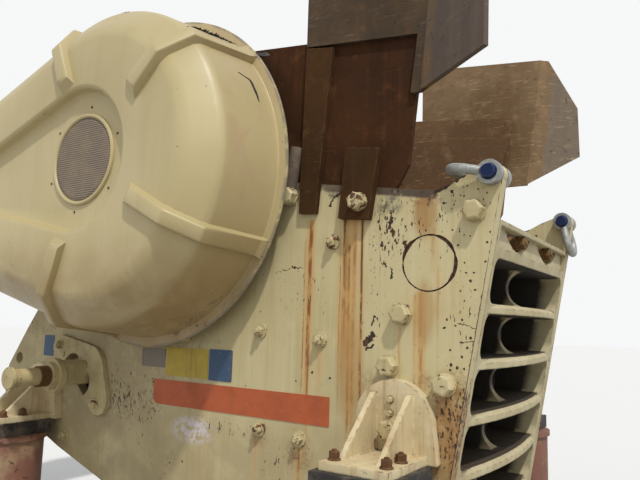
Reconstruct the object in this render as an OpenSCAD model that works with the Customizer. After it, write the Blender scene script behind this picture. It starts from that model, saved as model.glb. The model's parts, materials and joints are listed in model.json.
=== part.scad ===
// Single toggle jaw crusher standing on four pedestals, with its feed chute, drive and guards.
// X runs forward to the fixed jaw, -Y is the drive side and Z is up from the ground.
// Places on the frame are measured from a datum beside the axis of the front lifting pins.

/* [Frame] */
// Clear width of the feed opening between the cheek plates
feed_w = 1300; // [1100:10:1500]
// Depth of the feed opening between the jaw dies at the top
gape = 1000; // [900:10:1050]
// Closed gap between the jaw dies at the bottom
closed_gap = 150; // [100:5:200]
// Height of the datum above the ground
pin_z = 2275; // [2200:5:2400]
// Thickness of a side plate
side_t = 65; // [50:1:80]
// Thickness of a cheek plate
cheek_t = 40; // [30:1:60]
// Lean of the front edge from the vertical, in degrees
front_lean = 10.33; // [9:0.01:12]
// Fall of the top edge of a side plate towards the front, in degrees
top_fall = 8.2; // [6:0.1:10]
// Radius of the lifting lug
lug_r = 52; // [48:1:60]

/* [Front frame] */
// Depth of the front frame from its front edge to the jaw seat
cast_depth = 430; // [400:5:460]
// Height from one rib to the next
rib_pitch = 250; // [235:1:255]
// Thickness of a rib
rib_t = 45; // [35:1:55]
// Thickness of the side flanges
flange_t = 28; // [22:1:45]
// Thickness of the jaw seat wall
seat_t = 95; // [70:1:110]
// Thickness of the setback web in the cells
web_t = 45; // [30:1:60]
// Rounding of the cell corners
cell_r = 60; // [35:1:75]
// Forward bow of the ribs' front edges
rib_bow = 58; // [30:1:80]
// Chamfer on the upper front edge of a bowed rib
rib_nose = 18; // [8:1:25]

/* [Jaws] */
// Thickness of a jaw die over its teeth
die_t = 130; // [110:1:150]
// Height of a tooth of the jaw dies
tooth_h = 45; // [30:1:55]
// Number of teeth across a jaw die
teeth = 11; // [8:1:13]
// Radius of the bearing barrel of the pitman
barrel_r = 400; // [370:5:420]

/* [Drive] */
// Distance of the flywheel shaft behind the lifting pins
shaft_back = 2006; // [1980:1:2050]
// Height of the flywheel shaft over the lifting pins
shaft_up = 130; // [110:1:150]
// Radius of a flywheel
wheel_r = 830; // [780:5:840]
// Width of a flywheel's rim
wheel_w = 300; // [240:5:320]
// Gap between a side plate and its flywheel
wheel_gap = 165; // [150:5:190]
// Radius of the flywheel shaft
shaft_r = 140; // [120:1:150]
// Distance of the motor shaft behind the flywheel shaft
motor_back = 1914; // [1850:2:2000]
// Drop of the motor shaft under the flywheel shaft
motor_drop = 75; // [60:1:90]
// Radius of the motor pulley
pulley_r = 170; // [150:1:190]
// Height of the motor shaft over the motor's feet
motor_h = 315; // [300:1:330]

/* [Guards] */
// Distance of a guard's rim from its side plate
guard_gap = 100; // [90:1:120]
// Depth of a guard from its rim to its flat face
guard_d = 520; // [500:5:560]
// Free room between a flywheel and the drum of its guard
wheel_room = 43; // [30:1:70]
// Radius of the flat face at the motor end
face_end_r = 190; // [180:1:220]
// Wall thickness of the guards
guard_t = 12; // [8:1:16]
// Width of a guard's shoulder between its flat face and its drum
shoulder_w = 150; // [145:1:160]
// Drop of a guard's shoulder
shoulder_d = 120; // [100:1:140]
// Spread of the drum from its shoulder to its rim
drum_flare = 42; // [30:1:50]
// Width of the rim flange outside the drum
rim_w = 57; // [45:1:70]
// Depth of the recessed channel in the flat face
channel_d = 60; // [40:1:80]
// Radius of the recessed channel round the screen
channel_r = 385; // [370:1:400]
// Height of the raised ribs over the guard
guard_rib_h = 38; // [25:1:50]
// Radius of the round screen
screen_r = 245; // [210:1:260]

/* [Chute] */
// Thickness of the chute plates
chute_t = 25; // [16:1:30]
// Height of the chute's lower edge joint over the lifting pins, at the pins
chute_mid = 700; // [650:5:740]
// Height of the chute's top edge over the lifting pins, at the pins
chute_top = 1180; // [1120:5:1240]
// Outward reach of the front wings
wing_out = 218; // [180:2:260]
// Forward reach of the front wings past the lifting pins
wing_front = 65; // [40:1:80]

/* [Feet] */
// Drop of the front feet's upper face under the lifting pins
front_drop = 1240; // [1220:2:1260]
// Drop of the rear feet's upper face under the lifting pins
rear_drop = 1325; // [1300:2:1340]
// Distance of the front feet behind the lifting pins
front_back = 433; // [420:1:450]
// Distance of the rear feet behind the lifting pins
rear_back = 3085; // [3060:1:3120]
// Thickness of the feet's base plates
foot_t = 35; // [25:1:45]
// Reach of the feet outward from the side plates
foot_reach = 420; // [380:2:440]
// Thickness of the rubber pads
pad_t = 80; // [60:1:100]
// Radius of the round pedestals
pedestal_r = 245; // [220:1:250]
// Radius of the bolt holes in the feet
foot_hole_r = 16; // [12:1:20]

/* [Shackles] */
// Diameter of a shackle's pin
shackle_pin_d = 50; // [44:1:54]
// Diameter of a shackle's bow
bow_d = 45; // [40:1:48]
// Inside length of a shackle from its pin to its crown
bow_len = 178; // [174:1:190]
// Inside width of a shackle's bow
bow_w = 127; // [120:1:135]
// Gap between a shackle's eyes and the side plate
eye_gap = 5; // [3:0.5:8]

/* [Hidden] */
$fn = 64;
cream = "#d8cfa6";
beige = "#d9c79b";
rust = "#6b4a34";
steel = "#8d8f8c";
dark = "#3a3a38";
blue = "#1f3d78";
red = "#7d4038";

// Running gap round pins and seat gap between pieces that only touch
fit = 0.3;
// Overrun of a cut past the face that it leaves
cut = 1;
// Step that keeps the corner of one shape clear of the edge of the next
blend = 2;

inner_y = feed_w / 2 + cheek_t;
outer_y = inner_y + side_t;
shaft_x = -shaft_back;
lug = [8, -12];
motor_x = shaft_x - motor_back;
motor_z = shaft_up - motor_drop;

// Reach of the shackle's crown from the pin, at the faces of the side plate
bow_mid_r = (bow_w + bow_d) / 2;
bow_centre = bow_len - bow_w / 2;
crown_reach = bow_centre + sqrt(bow_mid_r * bow_mid_r - side_t * side_t / 4);
// Angles of the crown from +X when it lies back over the lug and when it hangs against the front edge
rest_back = 168.5;
hang = -front_lean - acos((lug_r + bow_d / 2 + fit) / crown_reach);
eye_r = 54;
pin_head_r = 38;
eye_y = side_t / 2 + eye_gap + bow_d / 2;

// The ends of the whole crusher along X give the place of the lifting pins
rear_reach = -motor_x + face_end_r + shoulder_w + drum_flare + rim_w;
front_reach = lug[0] + (bow_centre + bow_mid_r) * cos(hang) + bow_d / 2;
pin_x = (rear_reach - front_reach) / 2;

ledge = [-260, -64];
frame_low = -1945;
cast_top = -206;
rib_top = -325;
toe_z = -1855;
cells = 6;
cell_h = rib_pitch - rib_t;

function front_x(z) = lug[0] + lug_r / cos(front_lean) + (z - lug[1]) * tan(front_lean);
function top_z(x) = ledge[1] + (ledge[0] - x) * tan(top_fall);
function seat_x(z) = front_x(z) - cast_depth;
function fixed_x(z) = seat_x(z) - die_t;
toe_low = [-420, frame_low];
die_top = -60;
die_low = -1800;
function moving_x(z) = fixed_x(die_top) - gape
    + (die_top - z) / (die_top - die_low) * (gape - closed_gap + fixed_x(die_low) - fixed_x(die_top));
function arm_x(z) = moving_x(z) - die_t;
function polar(r, a) = [r * cos(a), r * sin(a)];

// Outer ends of the setting wedges, where the units' rods meet them
wedge_y = inner_y - 25;
chute_y = outer_y - 2;
wheel_near = outer_y + wheel_gap;
wheel_far = wheel_near + wheel_w;
rim_y = outer_y + guard_gap;
face_r = wheel_r + wheel_room + guard_t - shoulder_w;
face_y = rim_y + guard_d;
opening_x = -2690;
opening_z = -1060;

// Line of the tension rods, from the pitman's lugs to the nuts behind their springs
rod_front = [-1640, -1700];
rod_rear = [-2990, -1560];
rod_run = (rod_rear - rod_front) / norm(rod_rear - rod_front);
rod_y = 380;
rod_r = 28;
spring_seat = 1206;
function on_rod(d, h) = rod_front + d * rod_run + h * [rod_run[1], -rod_run[0]];

// Puts a piece in place from the lifting pins
module at_pins() {
    translate([pin_x, 0, pin_z])
        children();
}

// Stands an outline drawn in X and Z upright and gives it a thickness from y0 to y1
module upright(y0, y1) {
    translate([0, y1, 0])
        rotate([90, 0, 0])
            linear_extrude(y1 - y0)
                children();
}

// A round bar along Y from y0 to y1
module bar_y(x, z, r, y0, y1) {
    translate([x, y0, z])
        rotate([-90, 0, 0])
            cylinder(r = r, h = y1 - y0);
}

// A round bar between two points drawn in X and Z
module bar_between(a, b, r, y) {
    run = b - a;
    translate([a[0], y, a[1]])
        rotate([0, 90 - atan2(run[1], run[0]), 0])
            cylinder(r = r, h = norm(run));
}

// A block square to each tension rod, from d0 to d1 along it and from h0 to h1 across it
module rod_blocks(d0, d1, h0, h1, half) {
    for (y = [-rod_y, rod_y])
        upright(y - half, y + half)
            polygon([on_rod(d0, h0), on_rod(d1, h0), on_rod(d1, h1), on_rod(d0, h1)]);
}

// A rectangle with round corners
module round_rect(w, h, r) {
    translate([r, 0])
        square([w - 2 * r, h]);
    translate([0, r])
        square([w, h - 2 * r]);
    for (x = [r, w - r], y = [r, h - r])
        translate([x, y])
            circle(r);
}

module to_off_side() {
    mirror([0, 1, 0])
        children();
}

// Outline of a side plate without its lug and its bearing seat
module side_outline() {
    polygon([
        lug + polar(lug_r - 3, -front_lean),
        [front_x(toe_z), toe_z],
        toe_low,
        [-1640, frame_low],
        [-2438, -1686],
        [-2899, -1541],
        [-3543, -1296],
        [-3572, -1169],
        [-3540, -1052],
        [-3352, -790],
        [-3030, -375],
        [-2560, -80],
        [-1500, -20],
        [-1180, top_z(-1180)],
        ledge,
        [-196, -46],
        [-135, -14],
        lug + polar(lug_r - 4, 120)
    ]);
}

// Opening for the setting unit: a slanting slot with round ends
module setting_opening() {
    slot_r = 90;
    slot_half = 85;
    translate([opening_x, -outer_y - cut, opening_z])
        rotate([0, 42, 0]) {
            for (s = [-1, 1])
                translate([s * slot_half, 0, 0])
                    rotate([-90, 0, 0])
                        cylinder(r = slot_r, h = side_t + 2 * cut);
            translate([-slot_half, 0, -slot_r])
                cube([2 * slot_half, side_t + 2 * cut, 2 * slot_r]);
        }
}

housing_r = 330;
seat_ring_r = 470;

module side_plate() {
    color(cream)
        at_pins()
            difference() {
                union() {
                    upright(-outer_y, -inner_y)
                        side_outline();
                    bar_y(lug[0], lug[1], lug_r, -outer_y, -inner_y);
                    bar_y(shaft_x, shaft_up, seat_ring_r, -outer_y, -inner_y);
                }
                bar_y(lug[0], lug[1], shackle_pin_d / 2 + fit, -outer_y - cut, -inner_y + cut);
                bar_y(shaft_x, shaft_up, housing_r + fit, -outer_y - cut, -inner_y + cut);
                bar_y(-3419, -996, 38, -outer_y - cut, -inner_y + cut);
                setting_opening();
                spigot_groove();
            }
}

// Thin groove round the flush spigot disc near the front
module spigot_groove() {
    translate([-285, -outer_y - cut, -398])
        rotate([-90, 0, 0])
            difference() {
                cylinder(r = 132, h = 4 + cut);
                translate([0, 0, -cut])
                    cylinder(r = 127, h = 4 + 3 * cut);
            }
}

module drive_side_plate() {
    side_plate();
}

module off_side_plate() {
    to_off_side()
        side_plate();
}

// Cast front frame: a jaw seat wall, side flanges, horizontal ribs with bowed front edges,
// and a setback web with a round scallop in each cell
module front_frame() {
    low = frame_low + 65;
    toe = [front_x(toe_z), toe_z];
    color(cream)
        at_pins() {
            difference() {
                upright(-inner_y, inner_y)
                    polygon([
                        [front_x(cast_top), cast_top],
                        toe,
                        toe + (toe_z - low) / (toe_z - frame_low) * (toe_low - toe),
                        [seat_x(low), low],
                        [seat_x(cast_top + 60), cast_top + 60],
                        [seat_x(cast_top) + seat_t, cast_top + 60],
                        [seat_x(cast_top) + seat_t + 60, cast_top]
                    ]);
                clamp_recess();
                for (i = [0 : cells - 1])
                    cell_pocket(rib_top - rib_t - i * rib_pitch - cell_h);
            }
            for (i = [1 : cells])
                rib_front(rib_top - i * rib_pitch);
            clamp_wall();
            for (s = [-1, 1])
                clamp_lug(s);
        }
}

// Bowed front edge of a rib between the flanges, with its upper edge chamfered
module rib_front(z) {
    half_w = inner_y - flange_t;
    r = (half_w * half_w + rib_bow * rib_bow) / (2 * rib_bow);
    back = 40;
    translate([front_x(z - rib_t) + rib_bow - r, 0, z - rib_t])
        intersection() {
            union() {
                cylinder(r = r, h = rib_t - rib_nose, $fn = 256);
                translate([0, 0, rib_t - rib_nose])
                    cylinder(r1 = r, r2 = r - rib_nose, h = rib_nose, $fn = 256);
            }
            translate([r - rib_bow - back, -half_w - 10, 0])
                cube([rib_bow + back + cut, 2 * half_w + 20, rib_t]);
        }
}

// Low wall on the front of the recess, with two sagging notches, and the lip bar over it
module clamp_wall() {
    half_w = inner_y - flange_t;
    wall_top = rib_top + 100;
    notch_r = 330;
    translate([front_x(rib_top) - 42, 0, 0])
        rotate([90, 0, 90])
            linear_extrude(30)
                difference() {
                    translate([-half_w - blend, rib_top - blend])
                        square([2 * half_w + 2 * blend, wall_top - rib_top + blend]);
                    for (s = [-1, 1])
                        translate([s * clamp_y * 0.7, rib_top + 10 + notch_r])
                            circle(notch_r, $fn = 128);
                }
    upright(-half_w - blend, half_w + blend)
        polygon([
            [front_x(cast_top) - 50, cast_top],
            [front_x(cast_top), cast_top],
            [front_x(cast_top - 22), cast_top - 22],
            [front_x(cast_top) - 50, cast_top - 22]
        ]);
}

clamp_y = inner_y - 270;
clamp_x = front_x(rib_top) - 84;
clamp_z = rib_top + 100;
clamp_r = 22;

// Round topped lug that carries a jaw clamp's screw
module clamp_lug(side) {
    y = side * clamp_y;
    difference() {
        union() {
            translate([clamp_x - 44, y - 20, rib_top - blend])
                cube([88, 40, clamp_z - rib_top + blend]);
            bar_y(clamp_x, clamp_z, 50, y - 20, y + 20);
        }
        bar_y(clamp_x, clamp_z, clamp_r + fit, y - 20 - cut, y + 20 + cut);
    }
}

// Recess over the top rib that holds the jaw clamps
module clamp_recess() {
    back = seat_x(rib_top) + seat_t + 35;
    translate([back, -inner_y + flange_t, rib_top])
        cube([cast_depth, 2 * (inner_y - flange_t), cast_top - rib_top + 80]);
}

// One cell between two ribs, open to the front, with its web left standing at mid width
module cell_pocket(z) {
    back = seat_x(z + cell_h) + seat_t;
    half_w = inner_y - flange_t - web_t / 2;
    scallop_x = front_x(z + cell_h / 2) - 25;
    for (s = [0, 1])
        mirror([0, s, 0])
            translate([back, web_t / 2, z])
                rotate([90, 0, 90])
                    linear_extrude(cast_depth)
                        round_rect(half_w, cell_h, cell_r);
    translate([scallop_x, -web_t / 2 - cell_r, z])
        cube([cast_depth, web_t + 2 * cell_r, cell_h]);
    bar_y(scallop_x, z + cell_h / 2, cell_h / 2, -web_t / 2 - cell_r, web_t / 2 + cell_r);
}

// Rear cross frame with its back open in ribbed cells and a bored seat for each tension rod
module rear_frame() {
    cell_w = (2 * inner_y - 5 * 50) / 4;
    color(cream)
        at_pins()
            difference() {
                union() {
                    upright(-inner_y, inner_y)
                        polygon([
                            [-2800, -760],
                            [-2800, -1420],
                            [-2899, -1500],
                            [-3430, -1290],
                            [-3470, -1130],
                            [-3330, -850],
                            [-3180, -700],
                            [-2900, -700]
                        ]);
                    rod_blocks(spring_seat - 40, spring_seat, -100, 180, 90);
                }
                for (y = [-rod_y, rod_y])
                    bar_between(rod_front, rod_rear, rod_r + fit, y);
                for (i = [0 : 3])
                    translate([-3600, -inner_y + 50 + i * (cell_w + 50), -1360])
                        cube([700, cell_w, 560]);
            }
}

// Liners on the inner faces of the side plates, between the jaw dies
module cheek_plates() {
    color(steel)
        at_pins()
            for (s = [0, 1])
                mirror([0, s, 0])
                    for (band = [[-1000, die_top], [die_low, -1000 - 2 * fit]])
                        upright(-inner_y, -feed_w / 2)
                            polygon([
                                [fixed_x(band[1]), band[1]],
                                [fixed_x(band[0]), band[0]],
                                [moving_x(band[0]) - die_t / 3, band[0]],
                                [moving_x(band[1]) - die_t / 3, band[1]]
                            ]);
}

// A toothed jaw die, drawn flat with its back on Z = 0 and standing along Y
module die_profile(w) {
    pitch = w / teeth;
    polygon(concat(
        [[0, 0]],
        [for (i = [0 : teeth - 1], p = [[0.06, -1], [0.32, 0], [0.68, 0], [0.94, -1]])
            [pitch * (i + p[0]), die_t + p[1] * tooth_h]],
        [[w, 0]]
    ));
}

module fixed_jaw_die() {
    w = feed_w - 4;
    len = (die_top - die_low) / cos(front_lean);
    color(steel)
        at_pins()
            translate([seat_x(die_low) - fit, w / 2, die_low])
                rotate([0, front_lean, 0])
                    rotate([0, 0, -90])
                        mirror([0, 1, 0])
                            linear_extrude(len - die_t * sin(front_lean))
                                die_profile(w);
}

jaw_lean = atan2(moving_x(die_low) - moving_x(die_top), die_top - die_low);

module moving_jaw_die() {
    w = feed_w - 20;
    len = (die_top - die_low) / cos(jaw_lean);
    color(steel)
        at_pins()
            translate([arm_x(die_low), -w / 2, die_low])
                rotate([0, -jaw_lean, 0])
                    rotate([0, 0, 90])
                        mirror([0, 1, 0])
                            linear_extrude(len)
                                die_profile(w);
}

// Swing jaw with its bearing barrel, front wall, toggle seat and ribs
module pitman() {
    half_w = feed_w / 2 - 15;
    seat = [-1800, -1480];
    color(cream)
        at_pins()
            difference() {
                union() {
                    bar_y(shaft_x, shaft_up, barrel_r, -half_w, half_w);
                    upright(-half_w, half_w)
                        polygon([
                            [arm_x(die_top) - fit, die_top],
                            [arm_x(die_low) - fit, die_low],
                            [arm_x(die_low) - 120, die_low - 40],
                            [arm_x(die_top) - 110, die_top - 160],
                            [shaft_x, shaft_up - barrel_r + 40],
                            [shaft_x + barrel_r - 60, shaft_up]
                        ]);
                    upright(-half_w, half_w)
                        polygon([
                            [arm_x(die_low) - 110, die_low - 40],
                            [seat[0] - 20, seat[1] - 70],
                            seat + [-20, 90],
                            [arm_x(-1550) - 90, -1550]
                        ]);
                    for (i = [-2 : 2])
                        upright(i * (half_w / 2 - 16) - 30, i * (half_w / 2 - 16) + 30)
                            polygon([
                                [arm_x(-250) - 60, -250],
                                [arm_x(-1700) - 60, -1700],
                                seat + [0, 40],
                                [shaft_x - barrel_r * 0.55, shaft_up - barrel_r * 0.7]
                            ]);
                    rod_blocks(-60, -fit, -45, 85, 35);
                }
                bar_y(shaft_x, shaft_up, shaft_r + fit, -half_w - cut, half_w + cut);
                toggle_groove(seat + [-20, 10], half_w);
            }
}

// Round seat of the toggle plate
module toggle_groove(p, half_w) {
    bar_y(p[0] - 18, p[1], 45 + fit, -half_w - cut, half_w + cut);
}

toggle_front = [-1838, -1470];
toggle_rear = [-2395, -1180];

module toggle_plate() {
    half_w = feed_w / 2 - 60;
    run = toggle_rear - toggle_front;
    side = [-run[1], run[0]] / norm(run) * 27;
    color(steel)
        at_pins() {
            bar_y(toggle_front[0], toggle_front[1], 45, -half_w, half_w);
            bar_y(toggle_rear[0], toggle_rear[1], 45, -half_w, half_w);
            upright(-half_w, half_w)
                polygon([
                    toggle_front + side,
                    toggle_front - side,
                    toggle_rear - side,
                    toggle_rear + side
                ]);
        }
}

// Seat block of the toggle plate and the two setting wedges behind it
module setting_wedges() {
    half_w = inner_y - 10;
    color(steel)
        at_pins() {
            difference() {
                upright(-half_w, half_w)
                    polygon([[-2380, -1020], [-2380, -1340], [-2560, -1340], [-2560, -1020]]);
                bar_y(toggle_rear[0], toggle_rear[1], 45 + fit, -half_w - cut, half_w + cut);
            }
            for (s = [-1, 1])
                mirror([0, (s + 1) / 2, 0])
                    translate([0, 0, -1300])
                        linear_extrude(240)
                            polygon([
                                [-2560 - fit, -wedge_y],
                                [-2560 - fit, -20],
                                [-2700, -20],
                                [-2800 + fit, -wedge_y]
                            ]);
        }
}

// Two spring loaded rods that hold the pitman against the toggle plate
module tension_rods() {
    spring_r = 64;
    color(dark)
        at_pins()
            for (y = [-rod_y, rod_y]) {
                bar_between(rod_front, rod_rear, rod_r, y);
                bar_between(on_rod(spring_seat + fit, 0), on_rod(spring_seat + 120, 0), spring_r, y);
            }
}

module eccentric_shaft() {
    color(steel)
        at_pins()
            bar_y(shaft_x, shaft_up, shaft_r, -wheel_far - 20, wheel_far + 20);
}

// Bearing housing in the side plate, with a stepped cover
module bearing_housing() {
    cover = outer_y + wheel_gap - 45;
    color(cream)
        at_pins()
            translate([shaft_x, 0, shaft_up])
                rotate([90, 0, 0])
                    rotate_extrude($fn = 96)
                        polygon([
                            [shaft_r + fit, feed_w / 2 - 10],
                            [housing_r, feed_w / 2 - 10],
                            [housing_r, outer_y + 5],
                            [housing_r + 55, outer_y + 5],
                            [housing_r + 55, outer_y + 45],
                            [housing_r - 40, outer_y + 45],
                            [housing_r - 70, cover],
                            [shaft_r + fit, cover]
                        ]);
}

module drive_bearing_housing() {
    bearing_housing();
}

module off_bearing_housing() {
    to_off_side()
        bearing_housing();
}

// Flywheel with a heavy rim, a web with round holes and a hub
module flywheel(grooves) {
    rim = 150;
    hub_r = 250;
    color(dark)
        at_pins()
            translate([shaft_x, 0, shaft_up])
                rotate([90, 0, 0])
                    difference() {
                        rotate_extrude($fn = 128)
                            polygon(concat(
                                [[shaft_r + fit, wheel_near], [hub_r, wheel_near],
                                    [hub_r + 30, wheel_near + 100], [wheel_r - rim, wheel_near + 110],
                                    [wheel_r - rim + 20, wheel_near], [wheel_r - grooves, wheel_near]],
                                [[wheel_r - grooves, wheel_far], [wheel_r - rim + 20, wheel_far],
                                    [wheel_r - rim, wheel_near + 190], [hub_r + 30, wheel_near + 200],
                                    [hub_r, wheel_far], [shaft_r + fit, wheel_far]]
                            ));
                        for (i = [0 : 5])
                            rotate(60 * i + 30)
                                translate([(hub_r + wheel_r - rim) / 2 + 10, 0, wheel_near])
                                    cylinder(r = 130, h = wheel_w);
                    }
}

belt_t = 18;

module drive_flywheel() {
    flywheel(belt_t + fit);
}

module off_flywheel() {
    to_off_side()
        flywheel(0);
}

// Outline of the drive seen from the side: a big and a small circle and their tangents
module drive_outline(r1, r2) {
    dist = norm([motor_back, motor_drop]);
    swing = atan2(-motor_drop, -motor_back);
    a = acos((r1 - r2) / dist);
    translate([shaft_x, shaft_up]) {
        circle(r1, $fn = 128);
        rotate(swing) {
            translate([dist, 0])
                circle(r2, $fn = 96);
            polygon([
                polar(r1 - blend, a),
                [dist, 0] + polar(r2 - blend, a),
                [dist, 0] + polar(r2 - blend, -a),
                polar(r1 - blend, -a)
            ]);
        }
    }
}

module drive_belts() {
    color(dark)
        at_pins()
            upright(-wheel_far + 20, -wheel_near - 20)
                difference() {
                    drive_outline(wheel_r, pulley_r + belt_t + fit);
                    drive_outline(wheel_r - belt_t, pulley_r + fit);
                }
}

module motor_pulley() {
    color(dark)
        at_pins()
            difference() {
                bar_y(motor_x, motor_z, pulley_r, -wheel_far, -wheel_near);
                bar_y(motor_x, motor_z, 40 + fit, -wheel_far - cut, -wheel_near + cut);
            }
}

// Foot mounted motor with cooling fins, a fan cowl and a terminal box
module motor() {
    body_r = 250;
    drive_end = -inner_y + 40;
    fan_end = 330;
    color(steel)
        at_pins() {
            translate([motor_x, fan_end, motor_z])
                rotate([90, 0, 0])
                    linear_extrude(fan_end - drive_end) {
                        circle(body_r);
                        for (i = [0 : 29])
                            rotate(12 * i + 6)
                                translate([body_r - 10, -5])
                                    square([50, 10]);
                    }
            bar_y(motor_x, motor_z, body_r + 45, fan_end, fan_end + 170);
            bar_y(motor_x, motor_z, body_r + 25, drive_end - 60, drive_end);
            bar_y(motor_x, motor_z, 40, -wheel_far + 10, drive_end - 60);
            translate([motor_x - 160, -200, motor_z + body_r - 20])
                cube([320, 300, 170]);
            for (s = [-1, 1])
                translate([motor_x + s * 205 - 75, drive_end + 40, motor_z - motor_h])
                    cube([150, fan_end - drive_end - 120, 130]);
        }
}

// Two beams off the side plates and a bed plate that carry the motor
module motor_base() {
    bed_z = motor_z - motor_h;
    color(cream)
        at_pins() {
            translate([motor_x - 330, -inner_y, bed_z - 35])
                cube([640, 2 * inner_y, 35 - fit]);
            for (s = [0, 1])
                mirror([0, s, 0]) {
                    upright(-inner_y, -inner_y + 18)
                        polygon([
                            [-2650, bed_z - 35],
                            [-2650, -560],
                            [-2950, -560],
                            [motor_x - 330, bed_z - 180],
                            [motor_x - 330, bed_z - 35]
                        ]);
                    translate([motor_x - 330, -inner_y, bed_z - 60])
                        cube([-2650 - motor_x + 330, 140, 25]);
                }
        }
}

// A disc of the drive outline between two depths, narrowing from one to the other
module drive_cone(y0, d0, y1, d1) {
    hull() {
        upright(y0, y0 + 1)
            drive_outline(face_r + d0, face_end_r + d0);
        upright(y1 - 1, y1)
            drive_outline(face_r + d1, face_end_r + d1);
    }
}

// Recessed channel: a circle round the screen that tapers towards the motor
module channel_outline(grow) {
    hull() {
        translate([shaft_x - 92, shaft_up + 28])
            circle(channel_r + grow);
        translate([shaft_x - 1220, shaft_up - 35])
            circle(85 + grow);
    }
}

// A raised rib over the flat face, the shoulder and the drum, drawn by its side profile
module guard_rib(a, r0, w) {
    h = guard_rib_h;
    shoulder_y = guard_d - shoulder_d;
    translate([shaft_x, 0, shaft_up])
        rotate([90, -a, 0])
            translate([0, w / 2, 0])
                rotate([90, 0, 0])
                    linear_extrude(w)
                        polygon([
                            [r0, rim_y + guard_d - 2],
                            [r0 + 50, rim_y + guard_d + h],
                            [face_r + 12, rim_y + guard_d + h],
                            [face_r + shoulder_w + h * 0.8, rim_y + shoulder_y + h * 0.7],
                            [face_r + shoulder_w + drum_flare + h * 0.6, rim_y + 60],
                            [face_r + shoulder_w + drum_flare + rim_w - 8, rim_y + 12],
                            [face_r + shoulder_w + drum_flare - 10, rim_y + 12],
                            [face_r + shoulder_w - 10, rim_y + shoulder_y],
                            [face_r - 4, rim_y + guard_d - 8]
                        ]);
}

// Centre of the drive guard's round screen
screen_x = shaft_x - 74;
screen_z = shaft_up + 36;

// Angles and inner radii of the raised ribs of the drive guard
drive_ribs = [[112, 470], [43, 470], [-27.6, 420], [-108, 430]];

module drive_guard() {
    shoulder_y = rim_y + guard_d - shoulder_d;
    drum = shoulder_w + drum_flare;
    color(beige)
        at_pins() {
            difference() {
                union() {
                    drive_cone(-face_y, 0, -shoulder_y, shoulder_w);
                    drive_cone(-shoulder_y, shoulder_w, -rim_y, drum);
                    upright(-rim_y - 12, -rim_y)
                        drive_outline(face_r + drum + rim_w, face_end_r + drum + rim_w);
                }
                difference() {
                    union() {
                        drive_cone(-face_y + guard_t, -guard_t, -shoulder_y + guard_t / 2, shoulder_w - guard_t);
                        drive_cone(-shoulder_y + guard_t / 2, shoulder_w - guard_t, -rim_y + cut, drum - guard_t);
                    }
                    upright(-face_y, -face_y + channel_d + guard_t)
                        channel_outline(guard_t);
                }
                upright(-face_y - cut, -face_y + channel_d)
                    channel_outline(0);
                bar_y(screen_x, screen_z, screen_r - 20, -face_y, -face_y + 2 * channel_d + guard_t);
            }
            for (rib = drive_ribs)
                guard_rib(rib[0], rib[1], 110);
        }
}

// Round guard of the off side
module off_guard() {
    shoulder_y = rim_y + guard_d - shoulder_d;
    drum = face_r + shoulder_w + drum_flare;
    t = guard_t;
    color(beige)
        at_pins()
            to_off_side() {
                translate([shaft_x, 0, shaft_up])
                    rotate([90, 0, 0])
                        rotate_extrude($fn = 128)
                            polygon([
                                [screen_r - 20, face_y - channel_d],
                                [channel_r, face_y - channel_d],
                                [channel_r + t, face_y],
                                [face_r, face_y],
                                [face_r + shoulder_w, shoulder_y],
                                [drum, rim_y + t],
                                [drum + rim_w, rim_y + t],
                                [drum + rim_w, rim_y],
                                [drum - t, rim_y],
                                [face_r + shoulder_w - t, shoulder_y - t / 2],
                                [face_r - t / 2, face_y - t],
                                [channel_r + 2 * t, face_y - t],
                                [channel_r + t, face_y - channel_d - t],
                                [screen_r - 20, face_y - channel_d - t]
                            ]);
                for (a = [45 : 90 : 315])
                    guard_rib(a, channel_r + 40, 110);
            }
}

// Round screen with a raised rim and a bar across its middle
module guard_screen(x, z) {
    seat_y = face_y - channel_d;
    color(steel)
        at_pins()
            translate([x, -seat_y - fit, z])
                rotate([90, 0, 0]) {
                    cylinder(r = screen_r - 12, h = 8);
                    difference() {
                        cylinder(r = screen_r, h = 16);
                        translate([0, 0, -cut])
                            cylinder(r = screen_r - 14, h = 16 + 2 * cut);
                    }
                    translate([-screen_r + 8, -5, 0])
                        cube([2 * screen_r - 16, 10, 12]);
                }
}

module drive_guard_screen() {
    guard_screen(screen_x, screen_z);
}

module off_guard_screen() {
    to_off_side()
        guard_screen(shaft_x, shaft_up);
}

// Stand-offs between the side plates and the rims of the guards
module guard_brackets() {
    r = face_r + shoulder_w + drum_flare + rim_w / 2;
    color(steel)
        at_pins()
            for (s = [0, 1])
                mirror([0, s, 0]) {
                    for (a = [-75, -105])
                        bar_y(
                            shaft_x + r * cos(a), shaft_up + r * sin(a), 22,
                            -rim_y + fit, -outer_y - fit
                        );
                    for (a = [105, 150]) {
                        bar_y(
                            shaft_x + r * cos(a), shaft_up + r * sin(a), 22,
                            -rim_y + fit, -outer_y - fit
                        );
                        bar_between(
                            [shaft_x, shaft_up] + polar(housing_r + 110, a),
                            [shaft_x, shaft_up] + polar(r + 20, a),
                            18, -outer_y - 18 - fit
                        );
                    }
                }
}

// Lower edge of the upper chute plates and top edge of the chute, both falling to the front
function chute_line(h, x) = h - x * tan(top_fall - 1.7);

module chute_lower() {
    color(rust)
        at_pins()
            upright(-chute_y, -chute_y + chute_t)
                polygon([
                    [-456, top_z(-456) + fit],
                    [-391, 76],
                    [-318, chute_line(chute_mid, -318)],
                    [-1560, chute_line(chute_mid, -1560)],
                    [-1560, shaft_up + 520],
                    [-1440, 100],
                    [-1180, top_z(-1180) + fit]
                ]);
}

module drive_chute_lower() {
    chute_lower();
}

module off_chute_lower() {
    to_off_side()
        chute_lower();
}

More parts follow.
